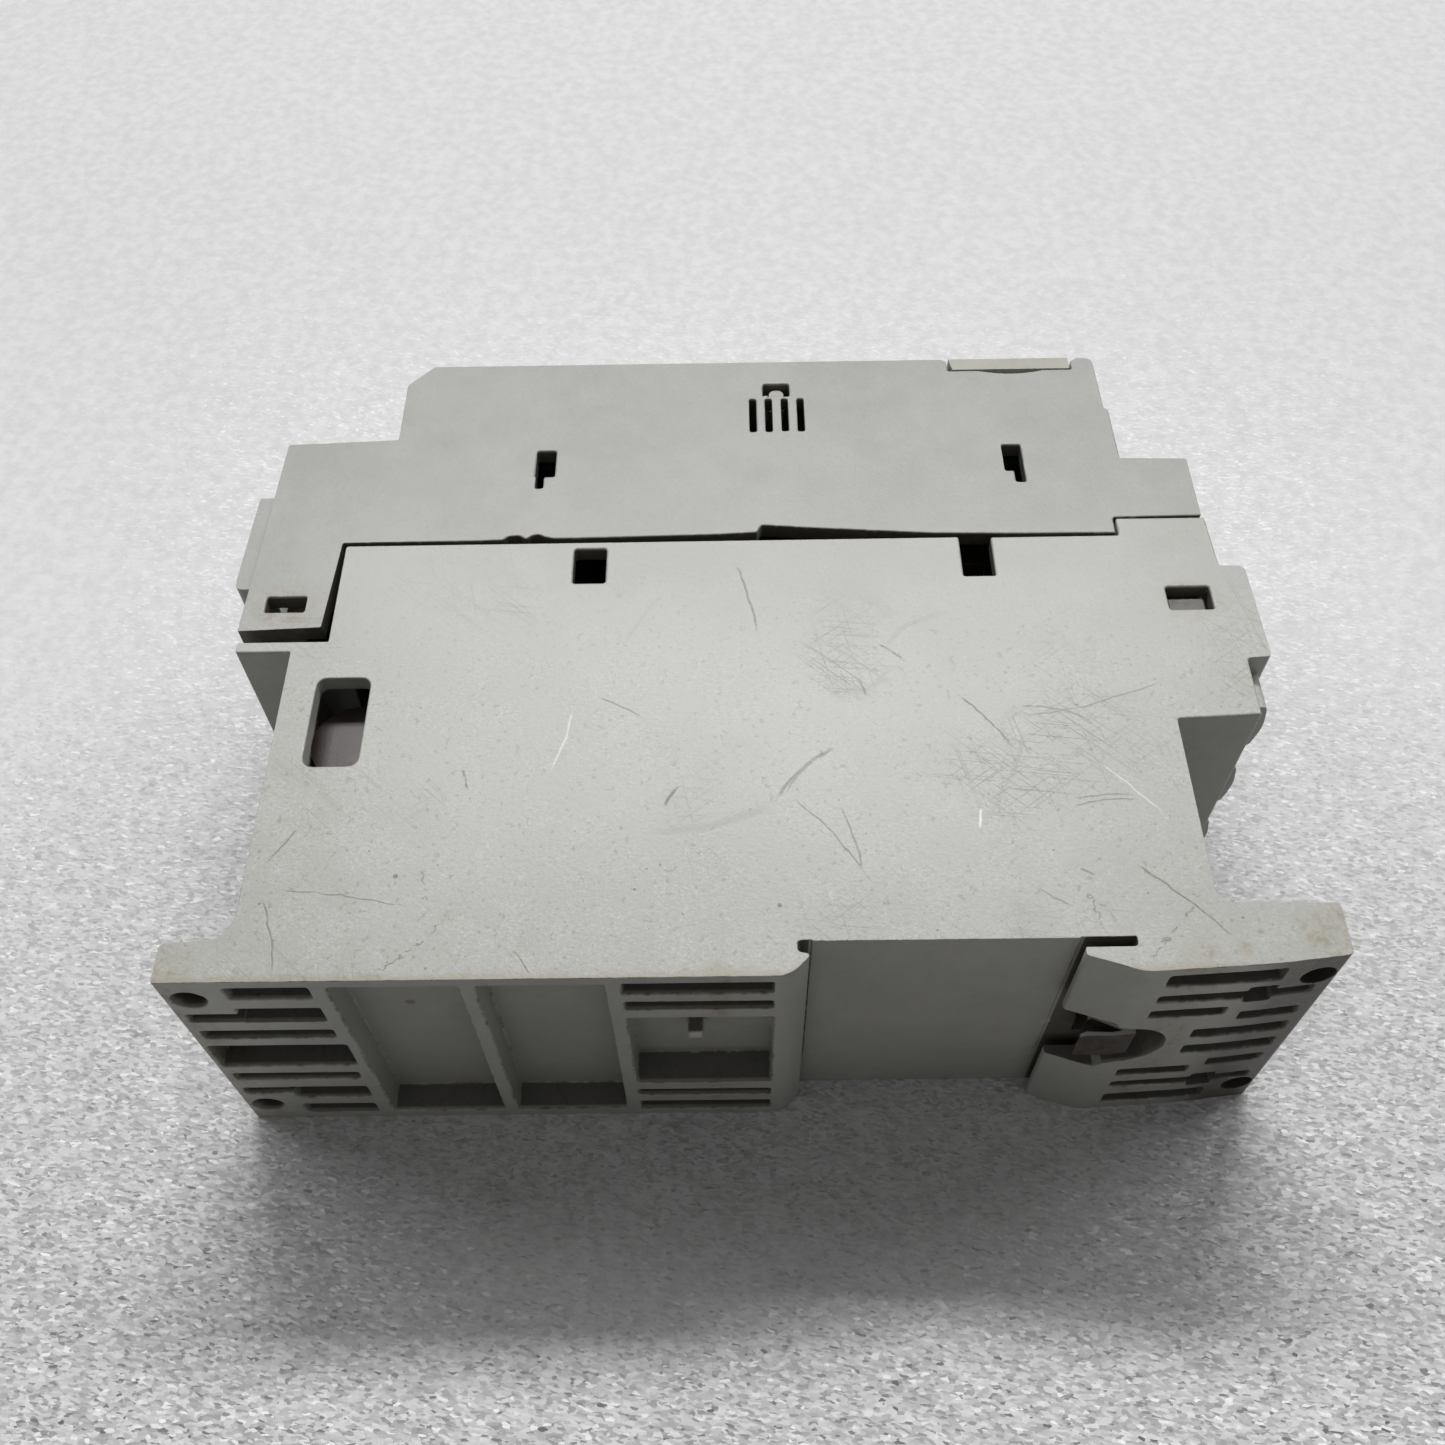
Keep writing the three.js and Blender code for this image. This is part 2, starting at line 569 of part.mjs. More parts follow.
function settingDial(x) {
  const knob = barY([x, DIAL_Z], DIAL_RADIUS, [97.5, 100.8], 24);
  const shaft = barY([x, DIAL_Z], SHAFT_RADIUS, [88.3, 97.6], 12);
  const slot = box(around(x, 0.5), [99.8, 102], around(DIAL_Z, 3.3));
  return cut(join(knob, shaft), slot);
}
DIAL_X.forEach((x, index) => addPiece(`setting_dial_${index + 1}`, settingDial(x), MATERIALS.dial));

const resetButton = join(
  barY(BUTTON, 2.6, [99.1, 101.4], 20),
  barY(BUTTON, STEM_RADIUS, [89.6, 99.2], 12),
);
addPiece('reset_button', resetButton, MATERIALS.button);

LIGHT_ROWS.forEach((z, index) => {
  addPiece(`light_pipe_${index + 1}`, barY([LIGHT_X, z], 1.45, [88.2, FRONT_Y - 0.1], 16), MATERIALS.lens);
});

const labelPlate = box(
  [LABEL_X[0] + GAP, LABEL_X[1] - GAP],
  [FRONT_Y - 0.6, FRONT_Y - 0.1],
  [LABEL_Z[0] + GAP, LABEL_Z[1] - GAP],
);
addPiece('label_plate', labelPlate, MATERIALS.label);

// ---------- rail spring ----------
const LEAF_WIDTH = 6.4;
const LEAF = 0.5;
const LEG_X = 118.1;

// A folded leaf: a leg in the recess, a pressing arm by the rail and a flatter arm at the back.
function railSpring() {
  const leg = [[LEG_X, 8.6], [LEG_X, 0.9], [LEG_X + LEAF, 0.5], [LEG_X + LEAF, 8.6]];
  const pressingArm = [
    [LEG_X + LEAF, 0.5], [LEG_X + 0.4, 1.1], [113.6, 3.15], [112.8, 3.05, 0.4], [112.75, 2.4],
    [113.4, 2.55], [LEG_X - 0.6, 0.65],
  ];
  const backArm = [
    [LEG_X + LEAF, 0.5], [LEG_X + 0.3, 1.1], [115.6, 0.7], [112.4, 0.8], [111.5, 0.5, 0.2],
    [111.4, 0.1, 0.1], [112.4, 0.25], [115.6, 0.2],
  ];
  const width = around(MID_Z, LEAF_WIDTH / 2);
  return join(...[leg, pressingArm, backArm].map((outline) => sidePlate(outline, width, 3)));
}
addPiece('rail_spring', railSpring(), MATERIALS.steel);

// ---------- power terminals ----------
const BLOCK_Z = [5.1, WIDTH - 5.1];
const PARTITION_Z = [-0.5, 0.5].map((step) => MID_Z + step * POLE_PITCH);
const CAGE_HEIGHT = 15;
const CAGE_HALF_WIDTH = 4.2;
const CAGE_WALL = 1;
const CAGE_LENGTH = 7;
const BAR_THICKNESS = 1.2;
const BAR_HALF_WIDTH = 2.9;
const CAGE_TRAVEL = 5;
const HEAD_RADIUS = 3.3;
const HEAD_HEIGHT = 3.4;
const THREAD_RADIUS = 2;

// Both ends share one clamp: cageY is the underside of the cage at rest, screwX its axis.
const LOAD_END = { name: 'load', screwX: LOAD_SCREW_X, cageY: 59.5, blockX: [4.1, 13] };
const LINE_END = { name: 'line', screwX: LINE_SCREW_X, cageY: 45.5, blockX: [124, 134.1] };
const cageTop = (end) => end.cageY + CAGE_HEIGHT;
const barLow = (end) => end.cageY + 9.9;
const headLow = (end) => cageTop(end) + CAGE_TRAVEL + 0.3;

function terminalBlock(end, blockY, backWall) {
  const headPlate = [headLow(end) - 0.2, blockY[1]];
  const floor = [blockY[0], blockY[0] + 1.6];
  const pieces = [
    box(end.blockX, headPlate, BLOCK_Z),
    box(end.blockX, floor, BLOCK_Z),
    ...PARTITION_Z.map((z) => box(end.blockX, blockY, around(z, 1))),
    box(backWall, blockY, BLOCK_Z),
  ];
  const wells = POLES.map((z) => barY([end.screwX, z], HEAD_RADIUS + 0.35, [headPlate[0] - 1, blockY[1] + 1]));
  const barSlots = POLES.map((z) => box(
    [backWall[0] - 1, backWall[1] + 1],
    [barLow(end) - GAP, barLow(end) + BAR_THICKNESS + GAP],
    around(z, BAR_HALF_WIDTH + GAP),
  ));
  return cut(join(...pieces), wells, barSlots);
}
addPiece('load_terminal_block', terminalBlock(LOAD_END, [50.3, 85.6], [12, 13]), MATERIALS.terminalPlastic);
addPiece('line_terminal_block', terminalBlock(LINE_END, [38.3, 70.2], [124, 125]), MATERIALS.terminalPlastic);

function clampCage(end, z) {
  const x = around(end.screwX, CAGE_LENGTH / 2);
  const frame = box(x, [end.cageY, cageTop(end)], around(z, CAGE_HALF_WIDTH));
  const throat = box(
    [x[0] - 1, x[1] + 1],
    [end.cageY + 1.4, cageTop(end) - 3],
    around(z, CAGE_HALF_WIDTH - CAGE_WALL),
  );
  const thread = barY([end.screwX, z], THREAD_RADIUS + GAP, [cageTop(end) - 4, cageTop(end) + 1]);
  return cut(frame, throat, thread);
}

// A screw along Y with a combined cross and slot drive.
function clampScrew([x, z], head, tipY, headY) {
  const solid = join(
    barY([x, z], head.radius, [headY, headY + head.height], 20),
    barY([x, z], head.thread, [tipY, headY + 0.1], 12),
  );
  const top = [headY + head.height * 0.55, headY + head.height + 1];
  return cut(
    solid,
    box(around(x, head.radius * 1.1), top, around(z, head.radius * 0.13)),
    box(around(x, head.radius * 0.13), top, around(z, head.radius * 0.6)),
  );
}

const BOARD_Y = [50, 51.6];
const FOOT_Y = BOARD_Y[1] + GAP;
const POWER_HEAD = { radius: HEAD_RADIUS, height: HEAD_HEIGHT, thread: THREAD_RADIUS };

// A flat bar from the clamp to the power board: tongue, drop and foot.
function busbar(end, z, tipX, dropX, footX) {
  const low = barLow(end);
  const towards = Math.sign(dropX - tipX);
  const tongue = [Math.min(tipX, dropX), Math.max(tipX, dropX)];
  const innerX = dropX - towards * BAR_THICKNESS;
  const drop = [Math.min(dropX, innerX), Math.max(dropX, innerX)];
  const foot = [Math.min(innerX, footX), Math.max(innerX, footX)];
  const width = around(z, BAR_HALF_WIDTH);
  return join(
    box(tongue, [low, low + BAR_THICKNESS], width),
    box(drop, [FOOT_Y, low + BAR_THICKNESS], width),
    box(foot, [FOOT_Y, FOOT_Y + BAR_THICKNESS], width),
  );
}

POLES.forEach((z, index) => {
  const pole = index + 1;
  for (const end of [LOAD_END, LINE_END]) {
    const tip = barLow(end) + BAR_THICKNESS + GAP;
    addPiece(`${end.name}_clamp_cage_${pole}`, clampCage(end, z), MATERIALS.plated);
    addPiece(`${end.name}_clamp_screw_${pole}`,
      clampScrew([end.screwX, z], POWER_HEAD, tip, headLow(end)), MATERIALS.plated);
  }
  addPiece(`load_busbar_${pole}`, busbar(LOAD_END, z, 4.9, 27, 31), MATERIALS.copper);
  addPiece(`line_busbar_${pole}`, busbar(LINE_END, z, 133, 117.4, 111.5), MATERIALS.copper);
});

// ---------- control terminals ----------
const CONTROL_CAGE_Y = [89.5, 97];
const CONTROL_BAR_Y = [93.8, 94.4];
const CONTROL_HEAD = { radius: 1.9, height: 2.6, thread: 1 };
const CONTROL_HEAD_Y = 99.1;

function controlBlock() {
  const body = sidePlate([
    [20.6, 88], [20.6, 99.4], [23.1, 102], [29.5, 102], [29.5, 88],
  ], [4.6, WIDTH - 4.6]);
  const chambers = CONTROL_ROWS.flatMap((z) => [
    box([20, 28.2], [89.2, 99], around(z, 3.1)),
    barY([CONTROL_SCREW_X, z], CONTROL_HEAD.radius + 0.35, [98.5, 103]),
    box([28, 30], [CONTROL_BAR_Y[0] - GAP, CONTROL_BAR_Y[1] + GAP], around(z, 1.3 + GAP)),
  ]);
  return cut(body, chambers);
}
addPiece('control_terminal_block', controlBlock(), MATERIALS.terminalPlastic);

CONTROL_ROWS.forEach((z, index) => {
  const row = index + 1;
  const x = around(CONTROL_SCREW_X, 2.3);
  const cage = cut(
    box(x, CONTROL_CAGE_Y, around(z, 2.6)),
    box([x[0] - 1, x[1] + 1], [90.4, 95.4], around(z, 1.8)),
    barY([CONTROL_SCREW_X, z], CONTROL_HEAD.thread + GAP, [95, 98], 12),
  );
  addPiece(`control_clamp_cage_${row}`, cage, MATERIALS.plated);
  addPiece(`control_clamp_screw_${row}`,
    clampScrew([CONTROL_SCREW_X, z], CONTROL_HEAD, CONTROL_BAR_Y[1] + GAP, CONTROL_HEAD_Y), MATERIALS.plated);
  const contact = join(
    box([22, 30.8], CONTROL_BAR_Y, around(z, 1.3)),
    box([30.2, 30.8], [88.2, CONTROL_BAR_Y[1]], around(z, 1.3)),
  );
  addPiece(`control_contact_${row}`, contact, MATERIALS.plated);
});

// ---------- power electronics ----------
const SINK_PLATE_Y = [37.5, 43];
const SINK_FIN_Y = 11.6;
const SINK_Z = [6, WIDTH - 6];
const FIN_COUNT = 9;
const FIN_THICKNESS = 1.4;

function heatSink() {
  const step = (SINK_Z[1] - SINK_Z[0] - FIN_THICKNESS) / (FIN_COUNT - 1);
  const profile = [[SINK_Z[0], SINK_PLATE_Y[1]]];
  for (let i = 0; i < FIN_COUNT; i += 1) {
    const z = SINK_Z[0] + i * step;
    if (i > 0) profile.push([z, SINK_PLATE_Y[0]]);
    profile.push([z, SINK_FIN_Y], [z + FIN_THICKNESS, SINK_FIN_Y]);
    if (i < FIN_COUNT - 1) profile.push([z + FIN_THICKNESS, SINK_PLATE_Y[0]]);
  }
  profile.push([SINK_Z[1], SINK_PLATE_Y[1]]);
  return endPlate(profile, [27, 119]);
}
addPiece('heat_sink', heatSink(), MATERIALS.aluminium);

// One semiconductor module per pole, along the heat sink.
const MODULE_X = [31, 58, 85];
const MODULE_LENGTH = 24;
const MODULE_OUTLINE = [
  [8, 43.3], [8, 48, 0.5], [10, 49.6, 0.5], [35, 49.6, 0.5], [37, 48, 0.5], [37, 43.3],
];

MODULE_X.forEach((x, index) => {
  const body = endPlate(MODULE_OUTLINE, [x, x + MODULE_LENGTH]);
  const groove = box(around(x + MODULE_LENGTH / 2, 1), [48.4, 50], [7, 38]);
  addPiece(`thyristor_module_${index + 1}`, cut(body, groove), MATERIALS.module);
});

addPiece('power_board', box([17, 121.5], BOARD_Y, [3.6, WIDTH - 3.6]), MATERIALS.board);

// Surge absorbers hang from the power board beside the load end.
const DISC_CENTRE = [17.6, 37];
const DISC_RADIUS = 6;
const LEAD_Y = [42, 49.7];

[9.5, MID_Z, 37.5].forEach((z, index) => {
  const disc = barZ(DISC_CENTRE, DISC_RADIUS, around(z, 2), 20);
  const leads = [0, 2.2].map((offset) =>
    box(around(DISC_CENTRE[0] + offset, 0.4), LEAD_Y, around(z, 0.4)));
  addPiece(`varistor_${index + 1}`, join(disc, leads), MATERIALS.varistor);
});

// A ring core round each load busbar.
const RING_INNER = 4;
const RING_OUTER = 6.3;
const RING_HALF_LENGTH = 3;
const RING_X = 20.2;

POLES.forEach((z, index) => {
  const corners = [
    [RING_INNER, -RING_HALF_LENGTH], [RING_OUTER, -RING_HALF_LENGTH],
    [RING_OUTER, RING_HALF_LENGTH], [RING_INNER, RING_HALF_LENGTH], [RING_INNER, -RING_HALF_LENGTH],
  ];
  const ring = new THREE.LatheGeometry(corners.map(([r, h]) => new THREE.Vector2(r, h)), 20);
  ring.rotateZ(Math.PI / 2);
  ring.translate(RING_X, barLow(LOAD_END) + BAR_THICKNESS / 2, z);
  addPiece(`current_transformer_${index + 1}`, toSolid(ring), MATERIALS.ferrite);
});

// ---------- control electronics ----------
const CONTROL_BOARD_Y = [86, 87.6];
const BOARD_UNDERSIDE_Y = CONTROL_BOARD_Y[0] - 0.4;
addPiece('control_board', box([21, 122.3], CONTROL_BOARD_Y, [3.6, WIDTH - 3.6]), MATERIALS.board);

const CORE_Z = [9, 36];
const COIL_Z = [12, 33];
const transformer = join(
  box([84, 106], [70, 82], CORE_Z),
  box([89, 101], [66, BOARD_UNDERSIDE_Y], COIL_Z),
);
addPiece('supply_transformer', transformer, MATERIALS.winding);
addPiece('filter_capacitor', barY([42, 30], 6.2, [62, BOARD_UNDERSIDE_Y], 24), MATERIALS.sleeve);

// A small card that joins the two boards, with a plug at each end.
const CARD_Y = [52, BOARD_UNDERSIDE_Y];
const PLUG_X = [61, 77];
const PLUG_DEPTH = 5;
const riser = join(
  box([60, 78], CARD_Y, around(MID_Z, 0.8)),
  box(PLUG_X, [CARD_Y[0], CARD_Y[0] + PLUG_DEPTH], around(MID_Z, 2.5)),
  box(PLUG_X, [CARD_Y[1] - PLUG_DEPTH, CARD_Y[1]], around(MID_Z, 2.5)),
);
addPiece('riser_connector', riser, MATERIALS.module);

// The origin is the middle of the footprint, on the resting side.
design.position.set(-(PORT_FRAME_X + LENGTH) / 2, -FRONT_Y / 2, 0);

export default part;
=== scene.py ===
"""Looks of the rail-mounted solid-state relay: finished meshes, materials, light and camera.

Lengths inside this file are millimetres in the housing's own frame, whose origin is the load end of
the back plane on the resting side; place() turns them into the frame's metres.
"""

import math

import bmesh
import bpy
from mathutils import Matrix, Vector
from mathutils.geometry import delaunay_2d_cdt


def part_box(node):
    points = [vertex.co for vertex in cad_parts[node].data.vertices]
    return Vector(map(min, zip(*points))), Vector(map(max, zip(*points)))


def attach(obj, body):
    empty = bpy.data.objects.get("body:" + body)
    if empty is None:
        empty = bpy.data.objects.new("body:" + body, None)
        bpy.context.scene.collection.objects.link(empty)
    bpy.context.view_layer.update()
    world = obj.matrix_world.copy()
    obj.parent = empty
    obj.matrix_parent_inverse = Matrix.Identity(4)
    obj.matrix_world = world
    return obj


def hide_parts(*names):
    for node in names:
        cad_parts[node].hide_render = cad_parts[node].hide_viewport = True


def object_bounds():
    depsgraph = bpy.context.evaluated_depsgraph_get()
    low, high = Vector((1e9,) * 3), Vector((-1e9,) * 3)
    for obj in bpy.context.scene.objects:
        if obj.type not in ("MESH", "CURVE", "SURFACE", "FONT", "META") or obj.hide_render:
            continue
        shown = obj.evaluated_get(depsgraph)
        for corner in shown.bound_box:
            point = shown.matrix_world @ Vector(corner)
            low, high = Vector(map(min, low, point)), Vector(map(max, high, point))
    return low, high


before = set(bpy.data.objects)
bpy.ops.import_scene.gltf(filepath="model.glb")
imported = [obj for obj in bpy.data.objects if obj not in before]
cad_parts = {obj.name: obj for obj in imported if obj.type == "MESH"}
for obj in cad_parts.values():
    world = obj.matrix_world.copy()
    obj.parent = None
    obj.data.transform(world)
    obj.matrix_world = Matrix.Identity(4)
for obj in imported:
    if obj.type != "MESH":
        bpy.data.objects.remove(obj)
cad_low, cad_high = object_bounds()

MM = 0.001
BASE_LOW, BASE_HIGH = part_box("base_housing")
ORIGIN = Vector((BASE_LOW.x, BASE_LOW.y, BASE_LOW.z))
LENGTH = (BASE_HIGH.x - BASE_LOW.x) / MM
WIDTH = (BASE_HIGH.z - BASE_LOW.z) / MM
FRONT_Y = (cad_high.y - cad_low.y) / MM
MID_Z = WIDTH / 2


def place(x, y, z):
    """A point of the housing's frame in metres of the row frame."""
    return ORIGIN + Vector((x, y, z)) * MM


# ---------------------------------------------------------------- camera, light and floor

LENS_MM = 35.867
SENSOR_MM = 36.0
CAMERA_POINT = (68.08, -70.83, 198.48)
CAMERA_YAW = -0.01285
CAMERA_PITCH = 0.96359
CAMERA_ROLL = 0.02347


def make_camera():
    data = bpy.data.cameras.new("camera")
    data.lens = LENS_MM
    data.sensor_width = SENSOR_MM
    data.clip_start = 0.01
    data.clip_end = 20
    camera = bpy.data.objects.new("camera", data)
    bpy.context.scene.collection.objects.link(camera)
    forward = Vector((
        math.sin(CAMERA_YAW) * math.cos(CAMERA_PITCH),
        math.cos(CAMERA_YAW) * math.cos(CAMERA_PITCH),
        -math.sin(CAMERA_PITCH),
    ))
    level = Vector((math.cos(CAMERA_YAW), -math.sin(CAMERA_YAW), 0))
    down = forward.cross(level)
    right = math.cos(CAMERA_ROLL) * level + math.sin(CAMERA_ROLL) * down
    up = math.sin(CAMERA_ROLL) * level - math.cos(CAMERA_ROLL) * down
    turn = Matrix((right, up, -forward)).transposed().to_4x4()
    camera.matrix_world = Matrix.Translation(place(*CAMERA_POINT)) @ turn
    bpy.context.scene.camera = camera


def add_area_light(name, point, target, size, watts):
    data = bpy.data.lights.new(name, "AREA")
    data.shape = "RECTANGLE"
    data.size = size[0] * MM
    data.size_y = size[1] * MM
    data.energy = watts
    light = bpy.data.objects.new(name, data)
    bpy.context.scene.collection.objects.link(light)
    start = place(*point)
    aim = place(*target) - start
    light.matrix_world = Matrix.Translation(start) @ aim.to_track_quat("-Z", "Y").to_matrix().to_4x4()


def make_lights():
    middle = (LENGTH / 2, FRONT_Y / 2, 20)
    add_area_light("key", (95, 840, 1190), middle, (950, 170), 15.6)
    add_area_light("left", (-740, 560, 840), middle, (620, 480), 3.2)
    add_area_light("right", (880, 560, 840), middle, (620, 480), 3.2)
    world = bpy.data.worlds.new("studio")
    world.use_nodes = True
    background = world.node_tree.nodes["Background"]
    background.inputs["Color"].default_value = (1, 1, 1, 1)
    background.inputs["Strength"].default_value = 0.16
    bpy.context.scene.world = world
    bpy.context.scene.view_settings.view_transform = "Standard"


# ---------------------------------------------------------------- material tools

class Surface:
    """A node material; its coordinates are millimetres in the housing's frame."""

    def __init__(self, name):
        self.material = bpy.data.materials.new(name)
        self.material.use_nodes = True
        self.tree = self.material.node_tree
        self.tree.nodes.clear()
        self.shader = self.tree.nodes.new("ShaderNodeBsdfPrincipled")
        output = self.tree.nodes.new("ShaderNodeOutputMaterial")
        self.link(self.shader.outputs["BSDF"], output.inputs["Surface"])
        where = self.tree.nodes.new("ShaderNodeTexCoord")
        moved = self.node("ShaderNodeVectorMath", operation="SUBTRACT")
        self.link(where.outputs["Object"], moved.inputs[0])
        moved.inputs[1].default_value = ORIGIN
        scaled = self.node("ShaderNodeVectorMath", operation="SCALE")
        self.link(moved.outputs[0], scaled.inputs[0])
        scaled.inputs["Scale"].default_value = 1 / MM
        self.position = scaled.outputs[0]
        split = self.node("ShaderNodeSeparateXYZ")
        self.link(self.position, split.inputs[0])
        self.x, self.y, self.z = split.outputs

    def node(self, kind, **settings):
        made = self.tree.nodes.new(kind)
        for key, value in settings.items():
            setattr(made, key, value)
        return made

    def link(self, source, socket):
        self.tree.links.new(source, socket)

    def feed(self, socket, value):
        """Links a socket, or sets a plain number or colour."""
        if isinstance(value, bpy.types.NodeSocket):
            self.link(value, socket)
        elif isinstance(value, (tuple, list)) and len(value) == 3 and socket.type == "RGBA":
            socket.default_value = (*value, 1)
        else:
            socket.default_value = value

    def math(self, operation, first, second=0.0):
        made = self.node("ShaderNodeMath", operation=operation)
        self.feed(made.inputs[0], first)
        self.feed(made.inputs[1], second)
        return made.outputs[0]

    def add(self, first, *rest):
        total = first
        for value in rest:
            total = self.math("ADD", total, value)
        return total

    def times(self, first, *rest):
        product = first
        for value in rest:
            product = self.math("MULTIPLY", product, value)
        return product

    def minus(self, first, second):
        return self.math("SUBTRACT", first, second)

    def largest(self, first, *rest):
        top = first
        for value in rest:
            top = self.math("MAXIMUM", top, value)
        return top

    def ramp(self, value, low, high, out_low=0.0, out_high=1.0):
        """Smoothly maps value from low..high onto out_low..out_high."""
        made = self.node("ShaderNodeMapRange", interpolation_type="SMOOTHSTEP")
        for name, number in (("Value", value), ("From Min", low), ("From Max", high),
                             ("To Min", out_low), ("To Max", out_high)):
            self.feed(made.inputs[name], number)
        return made.outputs["Result"]

    def fade(self, value, low, high):
        """1 up to low, then falling smoothly to 0 at high."""
        return self.ramp(value, low, high, 1.0, 0.0)

    def distance(self, first, second):
        """Length of the vector with these two parts."""
        return self.math("SQRT", self.add(self.times(first, first), self.times(second, second)))

    def mix(self, factor, first, second):
        made = self.node("ShaderNodeMix", data_type="RGBA")
        self.feed(made.inputs["Factor"], factor)
        self.feed(made.inputs[6], first)
        self.feed(made.inputs[7], second)
        return made.outputs[2]

    def noise(self, size, detail=2.0, roughness=0.5, vector=None, seed=0.0):
        """Noise whose features are about size millimetres."""
        made = self.node("ShaderNodeTexNoise", noise_dimensions="4D")
        self.link(vector or self.position, made.inputs["Vector"])
        made.inputs["W"].default_value = seed
        made.inputs["Scale"].default_value = 1 / size
        made.inputs["Detail"].default_value = detail
        made.inputs["Roughness"].default_value = roughness
        return made.outputs["Fac"]

    def noise_colour(self, size, seed):
        """Three noises at once, each about 0.5, as a vector."""
        made = self.node("ShaderNodeTexNoise", noise_dimensions="4D")
        self.link(self.position, made.inputs["Vector"])
        made.inputs["W"].default_value = seed
        made.inputs["Scale"].default_value = 1 / size
        return made.outputs["Color"]

    def stretched(self, turn, stretch):
        """The position turned by Euler angles, then divided by stretch along each axis."""
        turned = self.node("ShaderNodeVectorRotate", rotation_type="EULER_XYZ")
        self.link(self.position, turned.inputs["Vector"])
        turned.inputs["Rotation"].default_value = turn
        scaled = self.node("ShaderNodeVectorMath", operation="DIVIDE")
        self.link(turned.outputs[0], scaled.inputs[0])
        scaled.inputs[1].default_value = stretch
        return scaled.outputs[0]

    def specks(self, spacing, radius, seed=0.0):
        """Small round spots of different sizes, one in each cell."""
        shifted = self.node("ShaderNodeVectorMath", operation="ADD")
        self.link(self.position, shifted.inputs[0])
        shifted.inputs[1].default_value = (seed, seed * 1.7, seed * 2.3)
        cells = self.node("ShaderNodeTexVoronoi")
        self.link(shifted.outputs[0], cells.inputs["Vector"])
        cells.inputs["Scale"].default_value = 1 / spacing
        distance = self.times(cells.outputs["Distance"], spacing)
        split = self.node("ShaderNodeSeparateColor")
        self.link(cells.outputs["Color"], split.inputs[0])
        limit = self.times(self.math("POWER", split.outputs[0], 3.0), radius)
        return self.ramp(self.minus(limit, distance), -0.04, 0.08)

    def attribute(self, name):
        made = self.node("ShaderNodeAttribute", attribute_name=name)
        return made.outputs["Fac"]

    def facing(self, axis):
        """How far the surface faces along +axis, from 0 to 1."""
        geometry = self.node("ShaderNodeNewGeometry")
        dot = self.node("ShaderNodeVectorMath", operation="DOT_PRODUCT")
        self.link(geometry.outputs["Normal"], dot.inputs[0])
        dot.inputs[1].default_value = axis
        return self.math("MAXIMUM", dot.outputs["Value"], 0.0)

    def bump(self, height, strength, distance_mm):
        made = self.node("ShaderNodeBump")
        made.inputs["Strength"].default_value = strength
        made.inputs["Distance"].default_value = distance_mm * MM
        self.link(height, made.inputs["Height"])
        self.link(made.outputs[0], self.shader.inputs["Normal"])

    def set(self, **values):
        for key, value in values.items():
            self.feed(self.shader.inputs[key.replace("_", " ")], value)
        return self


# ---------------------------------------------------------------- housing plastic

HOUSING_COLOUR = (0.378, 0.383, 0.352)
HOUSING_LIGHT = (0.425, 0.428, 0.400)
COVER_PAINTED_SHADE = 0.86               # the cover's copy of the plastic is painted darker, as shade
GRIME = (0.160, 0.122, 0.070)
# Near black: loose dirt specks, and painted shade in pockets, holes, ledges, windows, slits, the pad's edge
# and the seam.
SPECK_DIRT_AND_SHADE = (0.050, 0.043, 0.036)
SCUFF = (0.58, 0.58, 0.55)
SCRATCH = (0.150, 0.140, 0.115)
TAN = (0.32, 0.265, 0.175)
RUBBED = (0.27, 0.27, 0.245)
STRESS_WHITE = (0.74, 0.74, 0.72)
PEG_CREAM = (0.62, 0.60, 0.52)

# Fine hairlines in four directions: turn about Z, length, width, the noise that shows, and seed.
HAIRLINES = [
    (0.75, 14, 0.13, (0.64, 0.70), 11.0),
    (-0.65, 10, 0.12, (0.65, 0.71), 12.0),
    (1.35, 18, 0.14, (0.65, 0.71), 13.0),
    (0.12, 12, 0.12, (0.66, 0.72), 14.0),
]

# Marks in the upper side: start, end, bow and width in millimetres, then strength. First dark scratches.
SCRATCHES = [
    ((68.6, 63.0), (71.7, 49.8), 0.3, 0.20, 0.60),
    ((81.4, 31.7), (72.8, 22.9), -0.9, 0.32, 0.55),
    ((78.2, 29.5), (74.5, 24.6), -0.2, 0.16, 0.40),
    ((59.4, 23.1), (61.3, 26.1), 0.2, 0.24, 0.80),
    ((75.3, 24.2), (85.4, 10.6), 0.8, 0.15, 0.50),
    ((81.3, 23.0), (83.9, 12.0), 0.4, 0.18, 0.50),
    ((87.7, 48.5), (91.4, 45.1), 0.2, 0.18, 0.55),
    ((84.6, 42.9), (85.7, 39.4), 0.2, 0.22, 0.60),
    ((97.6, 39.6), (104.4, 30.6), 0.4, 0.16, 0.60),
    ((50.6, 40.1), (56.9, 36.3), 0.3, 0.12, 0.45),
    ((33.4, 29.0), (34.4, 25.8), 0.1, 0.24, 0.75),
    ((14.0, 20.4), (10.1, 15.1), 0.2, 0.16, 0.70),
    ((11.1, 10.8), (14.1, 0.1), 0.5, 0.20, 0.75),
    ((12.7, 11.8), (29.9, 9.2), 0.5, 0.14, 0.55),
    ((41.9, 3.7), (44.4, 0.2), 0.1, 0.18, 0.60),
    ((105.4, 36.1), (126.1, 42.2), -0.9, 0.12, 0.40),
    ((105.3, 37.8), (115.3, 34.6), 1.0, 0.14, 0.45),
    ((110.1, 22.5), (118.8, 23.4), 0.2, 0.12, 0.50),
    ((110.7, 23.4), (118.5, 24.0), 0.2, 0.12, 0.40),
    ((109.8, 13.7), (111.6, 12.6), 0.0, 0.22, 0.55),
    ((116.4, 14.2), (127.1, 3.1), 0.6, 0.17, 0.75),
    ((104.7, 11.1), (108.5, 8.5), -0.3, 0.14, 0.45),
]
